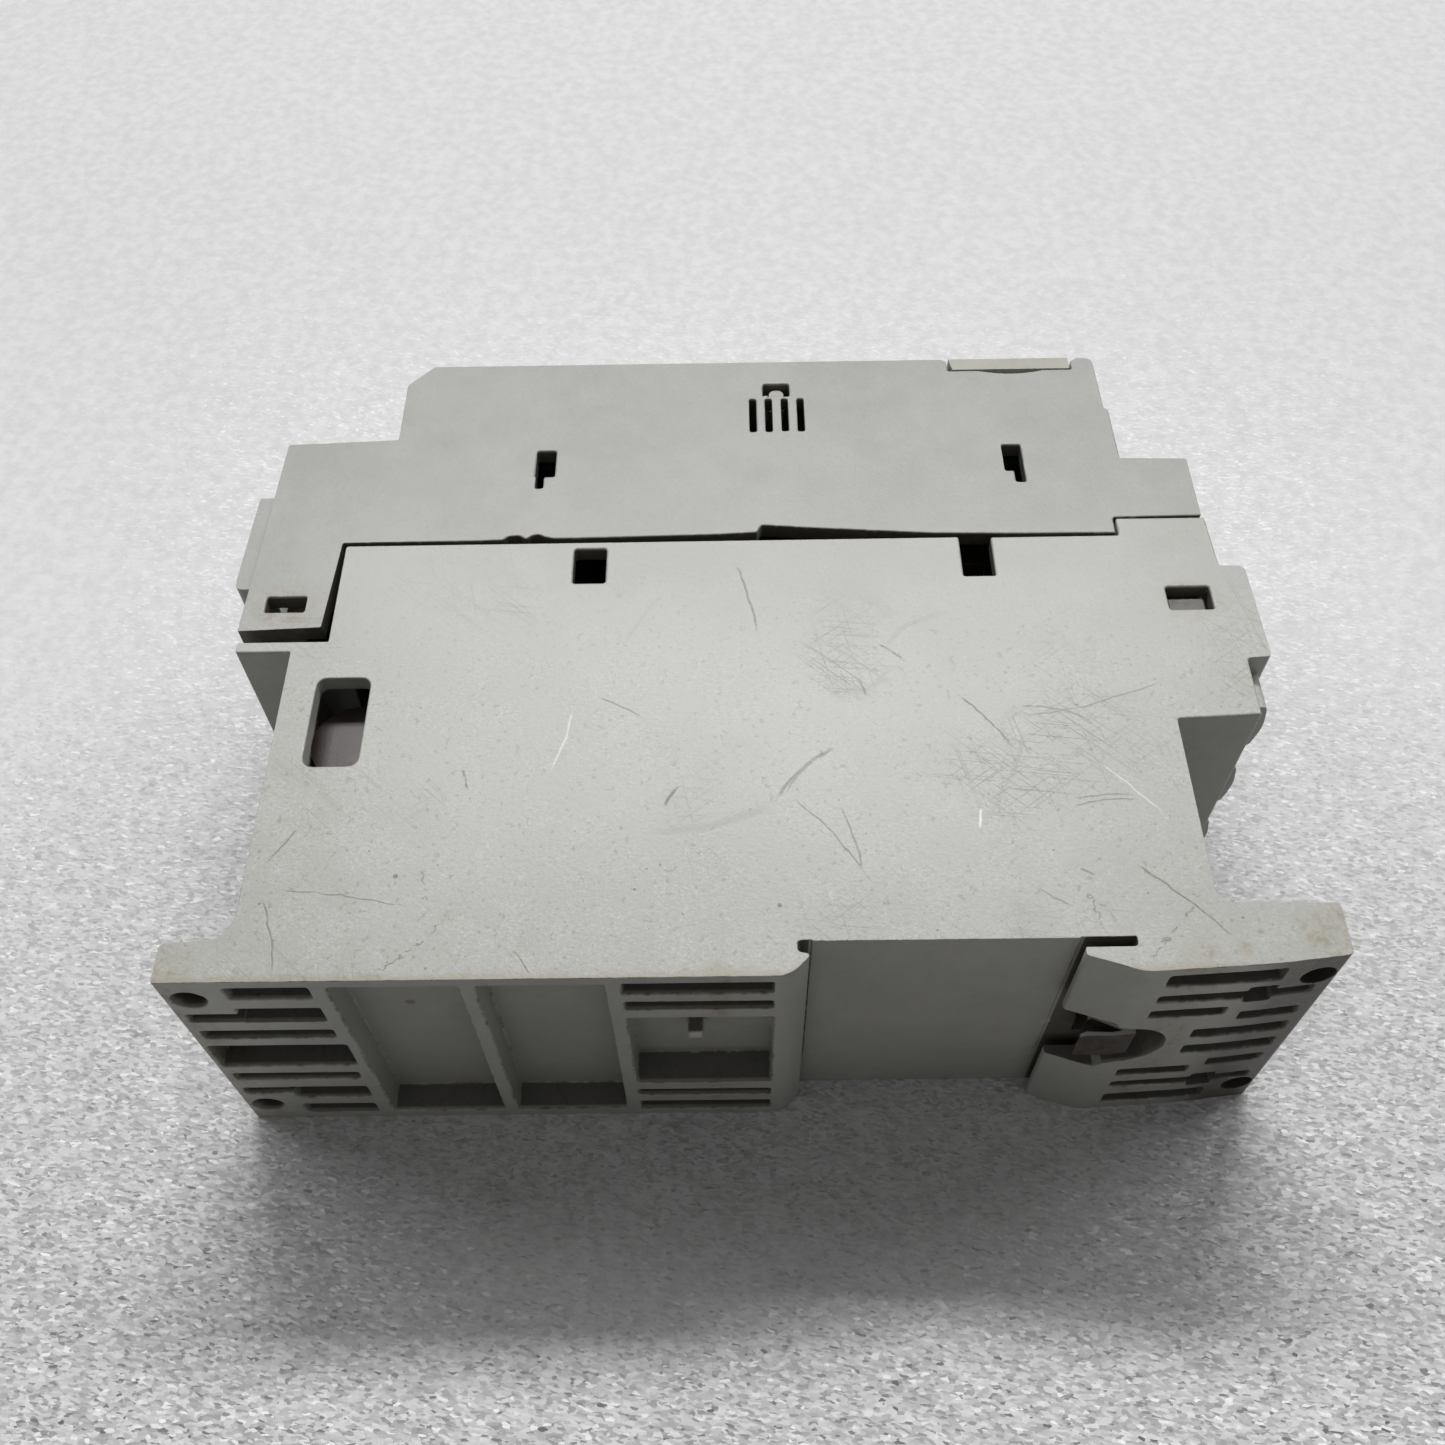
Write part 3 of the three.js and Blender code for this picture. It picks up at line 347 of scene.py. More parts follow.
# Marks with a torn, wandering edge.
TORN_SCRATCHES = [
    ((122.8, 8.8), (115.4, 0.9), 0.2, 0.20, 0.70),
    ((33.7, 8.1), (24.6, 0.5), 0.8, 0.18, 0.75),
    ((109.7, 10.6), (111.0, 5.9), 0.5, 0.18, 0.65),
    ((30.2, 14.8), (31.7, 9.5), -0.5, 0.18, 0.60),
]
# Broad rubs that only dull the surface.
RUBS = [
    ((72.8, 22.9), (56.4, 19.4), 1.0, 0.85, 0.34),
    ((88.4, 47.8), (98.9, 54.0), 1.4, 0.60, 0.28),
    ((84.8, 40.2), (89.3, 42.8), 0.3, 0.55, 0.34),
    ((105.6, 32.9), (99.3, 20.3), 0.5, 0.50, 0.34),
    ((53.6, 48.4), (58.9, 57.8), 0.5, 0.40, 0.22),
]
# Pale scratches where the plastic is stressed white.
PALE_SCRATCHES = [
    ((47.2, 38.1), (44.6, 28.0), 0.2, 0.20, 0.55),
    ((98.7, 22.4), (98.4, 19.2), 0.0, 0.28, 0.90),
    ((114.4, 28.6), (121.4, 21.1), 0.3, 0.20, 0.50),
]
# Dirt that has settled in one place: centre and radius.
SETTLED_DIRT = [
    ((6.4, 56.4), 4.0), ((131.0, 55.4), 3.4), ((1.2, 1.6), 3.4), ((138.4, 5.0), 4.4),
    ((127.4, 2.8), 1.0), ((33.9, 8.2), 0.8), ((122.5, 1.0), 2.6), ((66.0, 0.4), 1.6),
]
# Windows whose cut faces are painted with shade: X range and Y range.
SHADED_WINDOWS = [
    ((45.9, 50.5), (59.8, 66.1)), ((100.5, 105.0), (60.1, 68.4)), ((128.0, 134.1), (53.7, 57.7)),
    ((39.3, 42.2), (78.1, 85.7)), ((108.6, 111.5), (78.1, 85.7)), ((71.1, 79.6), (89.2, 96.3)),
    ((3.6, 9.2), (55.3, 58.0)), ((73.3, 77.4), (96.8, 99.6)),
]
WINDOW_SKIN_Z = 44.6             # the cut faces lie below this height
WINDOW_REACH = 0.25              # and this far round the window

# Pockets in the back painted with shade: at the load end, at the line end, and two halfway, well off the
# middle.
LOAD_POCKETS_END_X = 19.0
LINE_POCKETS_START_X = 117.5
HALFWAY_POCKETS_X = (54.0, 73.2)
HALFWAY_POCKETS_OFF_MIDDLE = 12.0
LEDGE_TOP_Z = 42.5               # below this height, faces turned up are ledges inside the back

# Where base and cover meet: the seam, and the end and side of the cover's leg at the load end.
SEAM_Y = (66.8, 71.2)
LEG_END_Y = (49.6, 53.0)
LEG_END_X = 13.2
LEG_SIDE_X = (11.5, 13.6)
LEG_SIDE_Y = (50.0, 68.2)

HOLE_X = (3.0, 137.2)            # the four mounting holes
HOLE_OFF_MIDDLE = 17.5
HOLE_RADIUS = 2.15
# Slits under the rail hook and the sprung lip, painted with shade: X range, both in this Y range.
RAIL_SLITS_X = [(75.1, 76.6), (109.1, 115.3)]
RAIL_SLITS_Y = (2.6, 5.0)
EJECTOR_DOT = (108.5, 20.5)      # pale moulding mark on the channel floor, X and Z
GATE_DOT = (27.0, 30.0)          # brown moulding mark in the first pocket
EJECTOR_DOT_Y = 4.0              # the dots lie on floors at least this far in from the back
GATE_DOT_Y = 3.5
DOT_RADIUS = 0.55
PEG_FRONT = ((61.5, 64.0), (1.9, 2.5))    # rubbed front of the peg in the centre pocket, X and Y
PEG_FRONT_HALF = 2.0             # how far that reaches along Z on either side of the middle
PAD_LINE = ((77.0, 9.3), (108.6, 12.0))   # edge of the low pad on the channel floor
PAD_Y = (4.0, 4.8)


def side_mark(surface, start, end, bow, width, strength, wobble):
    """A curved line mark between two points of the X and Y plane: strength on the line, 0 away from it."""
    along = Vector(end) - Vector(start)
    length = along.length
    unit = along / length
    dx = surface.minus(surface.x, start[0])
    dy = surface.minus(surface.y, start[1])
    u = surface.add(surface.times(dx, unit.x / length), surface.times(dy, unit.y / length))
    v = surface.add(surface.times(dx, -unit.y), surface.times(dy, unit.x))
    arch = surface.times(u, surface.minus(1.0, u), 4 * bow)
    off = surface.math("ABSOLUTE", surface.minus(surface.add(v, wobble), arch))
    line = surface.ramp(off, width * 0.25, width, strength, 0.0)
    ends = surface.times(surface.ramp(u, 0.0, 0.12), surface.fade(u, 0.75, 1.0))
    return surface.times(line, ends)


def all_marks(surface, marks, wobble):
    return surface.largest(*[side_mark(surface, *mark, wobble) for mark in marks])


def swing(surface, size, amount, seed):
    """A sideways wander of up to about half the amount, in millimetres."""
    centred = surface.minus(surface.noise(size, 2.0, 0.6, seed=seed), 0.5)
    return surface.times(centred, amount)


def hairline(surface, turn, length, width, shown, seed):
    """Thin straight scratches lying along one direction, in patches."""
    vector = surface.stretched((0, 0, turn), (length, width, width * 4))
    lines = surface.ramp(surface.noise(1.0, 1.0, 0.4, vector, seed), *shown)
    patches = surface.ramp(surface.noise(22.0, 2.0, 0.5, None, seed + 3.1), 0.48, 0.66)
    return surface.times(lines, patches)


def between(surface, value, low, high, blend):
    """1 where the value lies between two limits."""
    above = surface.ramp(value, low - blend, low)
    below = surface.fade(value, high, high + blend)
    return surface.times(above, below)


def settled_dirt(surface, ragged):
    """Brown dirt around a few worn places."""
    spots = []
    for (x, y), radius in SETTLED_DIRT:
        distance = surface.distance(surface.minus(surface.x, x), surface.minus(surface.y, y))
        reach = surface.add(distance, surface.times(ragged, radius * 1.2))
        spots.append(surface.fade(reach, radius * 0.7, radius * 1.35))
    return surface.largest(*spots)


def inside_window(surface, x_range, y_range):
    """1 inside a rectangle of the X and Y plane and just round it."""
    return surface.times(
        between(surface, surface.x, x_range[0] - WINDOW_REACH, x_range[1] + WINDOW_REACH, 0.05),
        between(surface, surface.y, y_range[0] - WINDOW_REACH, y_range[1] + WINDOW_REACH, 0.05),
    )


def window_painted_shade(surface):
    """Painted shade on the cut faces of the small windows in the upper side."""
    windows = surface.largest(*[inside_window(surface, *window) for window in SHADED_WINDOWS])
    return surface.times(windows, surface.fade(surface.z, WINDOW_SKIN_Z, WINDOW_SKIN_Z + 0.1))


def seam_painted_shade(surface, on_upper, on_back):
    """Painted shade on the faces that meet at the seam between base and cover, and round the cover's load
    leg.
    """
    on_front = surface.ramp(surface.facing((0, 1, 0)), 0.5, 0.9)
    across = surface.largest(on_front, on_back)
    along_seam = surface.times(across, between(surface, surface.y, *SEAM_Y, 0.2))
    under_leg = surface.times(across, between(surface, surface.y, *LEG_END_Y, 0.2),
                              surface.fade(surface.x, LEG_END_X, LEG_END_X + 0.4))
    beside_leg = surface.times(between(surface, surface.x, *LEG_SIDE_X, 0.1),
                               between(surface, surface.y, *LEG_SIDE_Y, 0.2))
    faces = surface.largest(along_seam, under_leg, beside_leg)
    return surface.times(faces, surface.minus(1.0, on_upper))


def pocket_painted_shade(surface, off_middle, on_upper, on_back):
    """Painted shade on the walls and floors of the pockets in the back, darkest on the floors."""
    off_centre = surface.ramp(off_middle, HALFWAY_POCKETS_OFF_MIDDLE, HALFWAY_POCKETS_OFF_MIDDLE + 0.4)
    pockets = surface.largest(
        surface.fade(surface.x, LOAD_POCKETS_END_X, LOAD_POCKETS_END_X + 0.4),
        surface.ramp(surface.x, LINE_POCKETS_START_X, LINE_POCKETS_START_X + 1.0),
        surface.times(between(surface, surface.x, *HALFWAY_POCKETS_X, 0.4), off_centre),
    )
    inside = surface.times(surface.ramp(surface.y, 0.5, 1.2), surface.fade(surface.y, 9.0, 12.0),
                           surface.minus(1.0, on_upper), pockets)
    return surface.times(inside, surface.add(surface.times(on_back, 0.50), 0.45))


def ledge_painted_shade(surface, on_upper):
    """Painted shade on ledges inside the back that face the same way as the upper side."""
    return surface.times(on_upper, surface.ramp(surface.y, 0.3, 0.8), surface.fade(surface.y, 8.6, 9.0),
                         surface.fade(surface.z, LEDGE_TOP_Z, LEDGE_TOP_Z + 1.0))


def hole_painted_shade(surface, off_middle):
    """Painted shade inside the mounting holes."""
    dz = surface.minus(off_middle, HOLE_OFF_MIDDLE)
    holes = []
    for x in HOLE_X:
        distance = surface.distance(surface.minus(surface.x, x), dz)
        holes.append(surface.fade(distance, HOLE_RADIUS + 0.1, HOLE_RADIUS + 0.2))
    return surface.times(surface.largest(*holes), surface.ramp(surface.y, 0.3, 1.5),
                         surface.fade(surface.y, 10.5, 12.0))


def slit_painted_shade(surface):
    """Painted shade in the slits under the rail hook and the sprung lip."""
    slits = [between(surface, surface.x, *x_range, 0.1) for x_range in RAIL_SLITS_X]
    return surface.times(surface.largest(*slits), between(surface, surface.y, *RAIL_SLITS_Y, 0.1))


def floor_dot(surface, centre, deep):
    """A small round mark on a floor that lies at least this far in from the back."""
    distance = surface.distance(surface.minus(surface.x, centre[0]), surface.minus(surface.z, centre[1]))
    return surface.times(surface.fade(distance, DOT_RADIUS, DOT_RADIUS * 1.4),
                         surface.ramp(surface.y, deep, deep + 0.3))


def pad_line(surface):
    """A faint dark line of painted shade along the edge of the seat pad."""
    (x0, z0), (x1, z1) = PAD_LINE
    slope = (z1 - z0) / (x1 - x0)
    line_z = surface.add(surface.times(surface.x, slope), z0 - slope * x0)
    off = surface.math("ABSOLUTE", surface.minus(surface.z, line_z))
    return surface.times(surface.fade(off, 0.06, 0.22), between(surface, surface.x, x0, x1, 0.1),
                         between(surface, surface.y, *PAD_Y, 0.1))


def scuff_grain(surface, colour, scuffed, fine_cloud, grain, stipple):
    """Chalky grain, faint threads and dark pits where the moulded grain is scuffed."""
    weave = surface.noise(1.0, 2.0, 0.5, surface.stretched((0, 0, 0.2), (0.9, 0.32, 0.5)), 5.0)
    worn = surface.add(0.45, surface.times(surface.ramp(fine_cloud, 0.42, 0.62), 0.55))
    chalk = surface.times(surface.ramp(grain, 0.44, 0.70), scuffed, worn)
    threads = surface.times(surface.ramp(weave, 0.52, 0.36), scuffed, worn)
    pits = surface.times(surface.ramp(stipple, 0.40, 0.30), scuffed)
    colour = surface.mix(surface.times(chalk, 0.50), colour, SCUFF)
    colour = surface.mix(surface.times(threads, 0.16), colour, SCRATCH)
    return surface.mix(surface.times(pits, 0.34), colour, SCRATCH)


def single_marks(surface, colour, on_upper):
    """Draws the single scratches and rubs; also returns how deep they cut."""
    wander = swing(surface, 4.0, 1.3, 21.0)
    breaks = surface.ramp(surface.noise(1.3, 2.0, 0.6, seed=22.0), 0.30, 0.52, 0.35, 1.0)
    torn = surface.times(
        all_marks(surface, TORN_SCRATCHES, swing(surface, 0.8, 2.2, 23.0)),
        surface.ramp(surface.noise(0.7, 1.0, 0.5, seed=24.0), 0.38, 0.56),
    )
    dark = surface.times(surface.largest(all_marks(surface, SCRATCHES, wander), torn), breaks, on_upper)
    dull = surface.times(all_marks(surface, RUBS, wander), on_upper)
    pale = surface.times(all_marks(surface, PALE_SCRATCHES, wander), on_upper)
    colour = surface.mix(surface.times(dull, 0.8), colour, RUBBED)
    colour = surface.mix(surface.times(dark, 0.85), colour, SCRATCH)
    colour = surface.mix(pale, colour, STRESS_WHITE)
    return colour, surface.largest(dark, surface.times(dull, 0.4))


def back_marks(surface, colour, off_middle, on_upper, on_back):
    """Small marks in the back of the base: painted shade in the slits and along the pad's edge, two
    moulding dots and the peg.
    """
    slits = surface.times(slit_painted_shade(surface), 0.85, surface.minus(1.0, on_upper))
    ejector_dot = surface.times(floor_dot(surface, EJECTOR_DOT, EJECTOR_DOT_Y), on_back, 0.75)
    gate_dot = surface.times(floor_dot(surface, GATE_DOT, GATE_DOT_Y), on_back, 0.65)
    peg_front = surface.times(inside_window(surface, *PEG_FRONT), on_back,
                              surface.fade(off_middle, PEG_FRONT_HALF, PEG_FRONT_HALF + 0.2))
    colour = surface.mix(slits, colour, SPECK_DIRT_AND_SHADE)
    colour = surface.mix(surface.times(pad_line(surface), on_back, 0.40), colour, SPECK_DIRT_AND_SHADE)
    colour = surface.mix(ejector_dot, colour, SCUFF)
    colour = surface.mix(gate_dot, colour, GRIME)
    return surface.mix(surface.times(peg_front, 0.8), colour, PEG_CREAM)


def worn_rims(surface, colour, low_band):
    """The rounded edges are rubbed pale in places and hold dirt in others."""
    rim = surface.attribute("rim")
    rim_noise = surface.noise(1.6, 3.0, 0.65, seed=33.0)
    dirt = surface.times(rim, surface.ramp(rim_noise, 0.48, 0.66),
                         surface.add(0.12, surface.times(low_band, 0.60)))
    pale = surface.times(rim, surface.ramp(rim_noise, 0.50, 0.36), 0.35)
    colour = surface.mix(pale, colour, SCUFF)
    return surface.mix(dirt, colour, GRIME)


def housing_plastic(name, with_marks):
    """Scuffed and dirty grey moulding with painted shade in its hollows, and the cover's copy painted
    darker as shade; only the base has the single scratches and the marks of its back.
    """
    surface = Surface(name)
    # The cover's copy is painted darker, as shade.
    shade = 1.0 if with_marks else COVER_PAINTED_SHADE
    on_upper = surface.ramp(surface.facing((0, 0, 1)), 0.6, 0.9)
    on_back = surface.ramp(surface.facing((0, -1, 0)), 0.5, 0.9)
    off_middle = surface.math("ABSOLUTE", surface.minus(surface.z, MID_Z))
    low_band = surface.fade(surface.y, 12.0, 26.0)

    cloud = surface.noise(34.0, 3.0, 0.55, seed=1.0)
    fine_cloud = surface.noise(5.5, 3.0, 0.6, seed=2.0)
    grain = surface.noise(0.34, 3.0, 0.6, seed=3.0)
    stipple = surface.noise(0.85, 2.0, 0.55, seed=4.0)
    tone = surface.add(surface.times(cloud, 0.6), surface.times(fine_cloud, 0.4))
    colour = surface.mix(surface.ramp(tone, 0.36, 0.62),
                         tuple(c * shade for c in HOUSING_COLOUR),
                         tuple(c * shade for c in HOUSING_LIGHT))

    # The moulded grain is scuffed most over the lower part of the side.
    scuffed = surface.times(surface.ramp(surface.y, 40.0, 64.0, 1.0, 0.25), on_upper)
    colour = scuff_grain(surface, colour, scuffed, fine_cloud, grain, stipple)
    hairlines = surface.largest(*[hairline(surface, *line) for line in HAIRLINES])
    hairlines = surface.times(hairlines, scuffed)
    colour = surface.mix(surface.times(hairlines, 0.36), colour, SCRATCH)
    groove = surface.times(hairlines, 0.4)
    if with_marks:
        colour, cut = single_marks(surface, colour, on_upper)
        groove = surface.largest(groove, cut)

    # Loose specks, then grime along the back edge and brown stains.
    specks = surface.largest(
        surface.times(surface.specks(3.1, 0.34, 1.0), 0.8),
        surface.times(surface.specks(1.5, 0.22, 7.0), 0.7),
    )
    speck_amount = surface.times(surface.add(0.30, surface.times(low_band, 0.5)), scuffed)
    colour = surface.mix(surface.times(specks, speck_amount), colour, SPECK_DIRT_AND_SHADE)
    ragged = surface.minus(surface.noise(1.5, 4.0, 0.7, seed=32.0), 0.5)
    smear = surface.ramp(ragged, -0.06, 0.20)
    back_edge = surface.fade(surface.add(surface.y, surface.times(ragged, 3.0)), 0.2, 1.3)
    colour = surface.mix(surface.times(back_edge, on_upper, 0.48), colour, TAN)
    stains = surface.times(settled_dirt(surface, ragged), surface.add(0.12, surface.times(smear, 0.45)))
    colour = surface.mix(stains, colour, TAN)
    colour = surface.mix(surface.times(stains, smear, 0.5), colour, GRIME)

    # Painted shade in the pockets, holes, ledges, windows and the seam, and a brown film on the back.
    colour = surface.mix(pocket_painted_shade(surface, off_middle, on_upper, on_back), colour, SPECK_DIRT_AND_SHADE)
    colour = surface.mix(surface.times(hole_painted_shade(surface, off_middle), 0.85), colour, SPECK_DIRT_AND_SHADE)
    colour = surface.mix(surface.times(ledge_painted_shade(surface, on_upper), 0.72), colour, SPECK_DIRT_AND_SHADE)
    colour = surface.mix(surface.times(window_painted_shade(surface), 0.80), colour, SPECK_DIRT_AND_SHADE)
    if with_marks:
        colour = back_marks(surface, colour, off_middle, on_upper, on_back)
    colour = surface.mix(surface.times(seam_painted_shade(surface, on_upper, on_back), 0.88), colour, SPECK_DIRT_AND_SHADE)
    back_film = surface.times(on_back, surface.add(0.08, surface.times(smear, 0.20)))
    colour = surface.mix(back_film, colour, TAN)
    colour = worn_rims(surface, colour, low_band)

    rough = surface.add(0.26, surface.times(grain, 0.10), surface.times(fine_cloud, 0.10),
                        surface.times(groove, 0.15), surface.times(stains, 0.2))
    moulded_height = surface.add(surface.times(grain, 0.5), surface.times(stipple, 0.35))
    height = surface.minus(moulded_height, surface.times(groove, 1.1))
    surface.bump(height, 0.55, 0.07)
    return surface.set(Base_Color=colour, Roughness=rough, IOR=1.41).material


# ---------------------------------------------------------------- other materials

def moulded(name, colour, roughness, spread=0.12, dirt=0.2):
    """Moulded or coated plastic with a fine grain, slight clouding and a little dirt."""
    brown_dirt = (0.2, 0.17, 0.12)
    surface = Surface(name)
    cloud = surface.noise(6.0, 3.0, 0.6, seed=1.0)
    grain = surface.noise(0.5, 2.0, 0.5, seed=2.0)
    pale = tuple(min(1.0, c * (1 + spread)) for c in colour)
    base = surface.mix(surface.ramp(cloud, 0.35, 0.65), colour, pale)
    smear = surface.ramp(surface.noise(2.2, 4.0, 0.7, seed=3.0), 0.52, 0.74)
    base = surface.mix(surface.times(smear, dirt), base, brown_dirt)
    base = surface.mix(surface.times(surface.attribute("rim"), 0.12), base, pale)
    surface.bump(grain, 0.35, 0.04)
    rough = surface.add(roughness - 0.05, surface.times(cloud, 0.1))
    return surface.set(Base_Color=base, Roughness=rough, IOR=1.49).material


def metal(name, colour, roughness):
    """Rolled or plated metal: fine lines drawn along X, and cloudy tarnish."""
    tarnish = (0.20, 0.16, 0.11)
    surface = Surface(name)
    drawn = surface.noise(1.0, 2.0, 0.5, surface.stretched((0, 0, 0), (6.0, 0.12, 0.12)), 4.0)
    cloud = surface.noise(2.6, 4.0, 0.65, seed=5.0)
    stain = surface.times(surface.ramp(cloud, 0.48, 0.72), 0.25)
    base = surface.mix(surface.ramp(drawn, 0.3, 0.7), colour, tuple(c * 0.86 for c in colour))
    base = surface.mix(stain, base, tarnish)
    rough = surface.add(roughness, surface.times(drawn, 0.12), surface.times(stain, 0.5))
    surface.bump(drawn, 0.25, 0.02)
    return surface.set(Base_Color=base, Roughness=rough, Metallic=1.0).material


def leaf_spring(name):
    """Browned spring steel whose upward faces carry a painted bright highlight."""
    brown = (0.105, 0.088, 0.070)
    dark_brown = (0.060, 0.047, 0.036)
    highlight_colour = (0.78, 0.77, 0.74)
    surface = Surface(name)
    # Faces turned up are painted with a bright highlight.
    painted_highlight = surface.ramp(surface.facing((0, 0, 1)), 0.5, 0.9)
    drawn = surface.noise(1.0, 2.0, 0.5, surface.stretched((0, 0, 0), (0.12, 0.12, 4.0)), 4.0)
    cloud = surface.noise(1.8, 4.0, 0.65, seed=5.0)
    browned = surface.mix(surface.ramp(cloud, 0.4, 0.65), brown, dark_brown)
    base = surface.mix(painted_highlight, browned, highlight_colour)
    rough = surface.add(0.40, surface.times(drawn, 0.15))
    surface.bump(drawn, 0.2, 0.02)
    return surface.set(Base_Color=base, Roughness=rough, Metallic=0.5).material


def circuit_board(name):
    """Solder mask with fine copper tracks showing through as a paler green."""
    green_mask = (0.010, 0.050, 0.022)
    green_over_copper = (0.035, 0.125, 0.050)
    surface = Surface(name)
    bricks = surface.node("ShaderNodeTexBrick")
    turned = surface.node("ShaderNodeVectorRotate", rotation_type="X_AXIS")
    turned.inputs["Angle"].default_value = math.pi / 2
    surface.link(surface.position, turned.inputs["Vector"])
    surface.link(turned.outputs[0], bricks.inputs["Vector"])
    bricks.inputs["Scale"].default_value = 0.22
    bricks.inputs["Mortar Size"].default_value = 0.035
    tracks = surface.ramp(bricks.outputs["Fac"], 0.2, 0.8)
    lines = surface.ramp(surface.noise(3.0, 1.0, 0.3, seed=6.0), 0.48, 0.52)
    base = surface.mix(surface.times(tracks, lines, 0.7), green_mask, green_over_copper)
    surface.bump(tracks, 0.3, 0.03)
    return surface.set(Base_Color=base, Roughness=0.32, IOR=1.5).material


def clear_acrylic(name):
    """Clear acrylic with a faint green tint and flow lines."""
    tint = (0.72, 0.82, 0.70)
    pale_tint = (0.80, 0.88, 0.78)
    surface = Surface(name)
    flow = surface.noise(1.2, 2.0, 0.5, seed=8.0)
    base = surface.mix(flow, tint, pale_tint)
    rough = surface.ramp(flow, 0.3, 0.7, 0.08, 0.16)
    return surface.set(Base_Color=base, Roughness=rough, IOR=1.49, Transmission_Weight=0.85).material


def floor_material():
    """White foam sheet: small crumpled cells whose facets glint in the light."""
    foam = (0.60, 0.60, 0.60)
    bright_foam = (0.68, 0.68, 0.68)
    surface = Surface("floor_foam")
    lumps = surface.noise(2.4, 3.0, 0.6, seed=9.0)
    crumple = surface.node("ShaderNodeVectorMath", operation="SCALE")
    surface.link(surface.noise_colour(1.1, 10.0), crumple.inputs[0])
    crumple.inputs["Scale"].default_value = 1.6
    moved = surface.node("ShaderNodeVectorMath", operation="ADD")
    surface.link(surface.stretched((0, 0, 0.15), (0.85, 0.34, 0.5)), moved.inputs[0])
    surface.link(crumple.outputs[0], moved.inputs[1])
    cells = surface.node("ShaderNodeTexVoronoi")
    surface.link(moved.outputs[0], cells.inputs["Vector"])
    cells.inputs["Scale"].default_value = 1.0
    lean = surface.node("ShaderNodeVectorMath", operation="SUBTRACT")
    surface.link(cells.outputs["Color"], lean.inputs[0])
    lean.inputs[1].default_value = (0.5, 0.5, 0.5)
    tilt = surface.node("ShaderNodeVectorMath", operation="SCALE")
    surface.link(lean.outputs[0], tilt.inputs[0])
    surface.link(surface.ramp(surface.y, -70.0, 110.0, 1.10, 0.20), tilt.inputs["Scale"])
    raised = surface.node("ShaderNodeVectorMath", operation="ADD")
    surface.link(tilt.outputs[0], raised.inputs[0])
    raised.inputs[1].default_value = (0, 0, 1)
    facing = surface.node("ShaderNodeVectorMath", operation="NORMALIZE")
    surface.link(raised.outputs[0], facing.inputs[0])
    surface.link(facing.outputs[0], surface.shader.inputs["Normal"])
    base = surface.mix(surface.ramp(lumps, 0.3, 0.7), foam, bright_foam)
    return surface.set(Base_Color=base, Roughness=0.30, IOR=1.4).material


def make_floor():
    mesh = bpy.data.meshes.new("floor")
    reach = 3000
    corners = [place(sx * reach, sy * reach, 0) for sx, sy in ((-1, -1), (1, -1), (1, 1), (-1, 1))]
    mesh.from_pydata(corners, [], [(0, 1, 2, 3)])
    floor = bpy.data.objects.new("floor", mesh)
    floor.data.materials.append(floor_material())
    bpy.context.scene.collection.objects.link(floor)


# ---------------------------------------------------------------- mesh tools

SHARP = math.radians(24)         # edges that turn more than this are rounded
FLAT = math.radians(0.8)         # faces that turn less than this are one flat patch
ROOM_SHARE = 0.42                # part of the free room an edge's rounding may take
LEAST_ROUND = 0.10               # narrowest rounding, in millimetres
BASE_ROUND = 0.32                # widest rounding of the base shell, in millimetres
COVER_ROUND = 0.28               # and of the cover
ROUND_SEGMENTS = 2
RUNS_ON = 0.7                    # cosine above which one edge runs on into the next
CROWDED_SHARE = 0.15             # part of a chain that may have less room than its rounding needs
ROUND_REACH = 0.2                # least cosine between a rounding and a flat face that it blends with
CLOSE = 2e-6                     # corners nearer than this, in metres, are one
STRAIGHT = math.radians(0.6)     # edges that turn less than this are dissolved
NODE_SHARP = math.radians(32)    # on the kept nodes, edges that turn more than this are rounded


def node_mesh(node):
    """The node's mesh as a clean bmesh of flat faces, in row-frame metres."""
    mesh = bmesh.new()
    mesh.from_mesh(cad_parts[node].data)
    bmesh.ops.remove_doubles(mesh, verts=mesh.verts, dist=CLOSE)
    bmesh.ops.dissolve_limit(mesh, angle_limit=STRAIGHT, verts=mesh.verts, edges=mesh.edges)
    return mesh


def number_patches(mesh):
    """Gives the faces that lie in one plane and touch the same number; returns each patch's normal."""
    patch = mesh.faces.layers.int["patch"]
    normals = [Vector((0, 0, 0))]
    for seed in mesh.faces:
        if seed[patch]:
            continue
        seed[patch] = len(normals)
        todo = [seed]
        while todo:
            for edge in todo.pop().edges:
                for face in edge.link_faces:
                    if not face[patch] and face.normal.angle(seed.normal) < FLAT:
                        face[patch] = len(normals)
                        todo.append(face)
        normals.append(seed.normal.copy())
    return normals


def point_to_edge(point, edge):
    """Distance from a point to an edge."""
    start, end = (v.co for v in edge.verts)
    along = end - start
    t = max(0.0, min(1.0, (point - start).dot(along) / max(along.length_squared, 1e-18)))
    return (point - start - along * t).length


def edge_room(mesh, sharp, most):
    """For each sharp edge, the distance to the nearest other edge of its faces, at most the given one."""
    room = dict.fromkeys(sharp, most)
    for face in mesh.faces:
        edges = list(face.edges)
        for i, one in enumerate(edges):
            for other in edges[i + 1:]:
                if set(one.verts) & set(other.verts) or not (one in sharp or other in sharp):
                    continue
                gap = min([point_to_edge(v.co, other) for v in one.verts]
                          + [point_to_edge(v.co, one) for v in other.verts])
                for edge in (one, other):
                    if edge in sharp and gap < room[edge]:
                        room[edge] = gap
    return room


def edge_chains(sharp):
    """Groups sharp edges that run on into each other without a corner."""
    chains = []
    left = set(sharp)
    while left:
        chain = [left.pop()]
        for edge in chain:
            for corner in edge.verts:
                nexts = [e for e in corner.link_edges if e in sharp and e is not edge]
                for other in nexts:
                    if other not in left:
                        continue
                    inward = (corner.co - edge.other_vert(corner).co).normalized()
                    outward = (other.other_vert(corner).co - corner.co).normalized()
                    if inward.dot(outward) > RUNS_ON:
                        left.remove(other)
                        chain.append(other)
        chains.append(chain)
    return chains


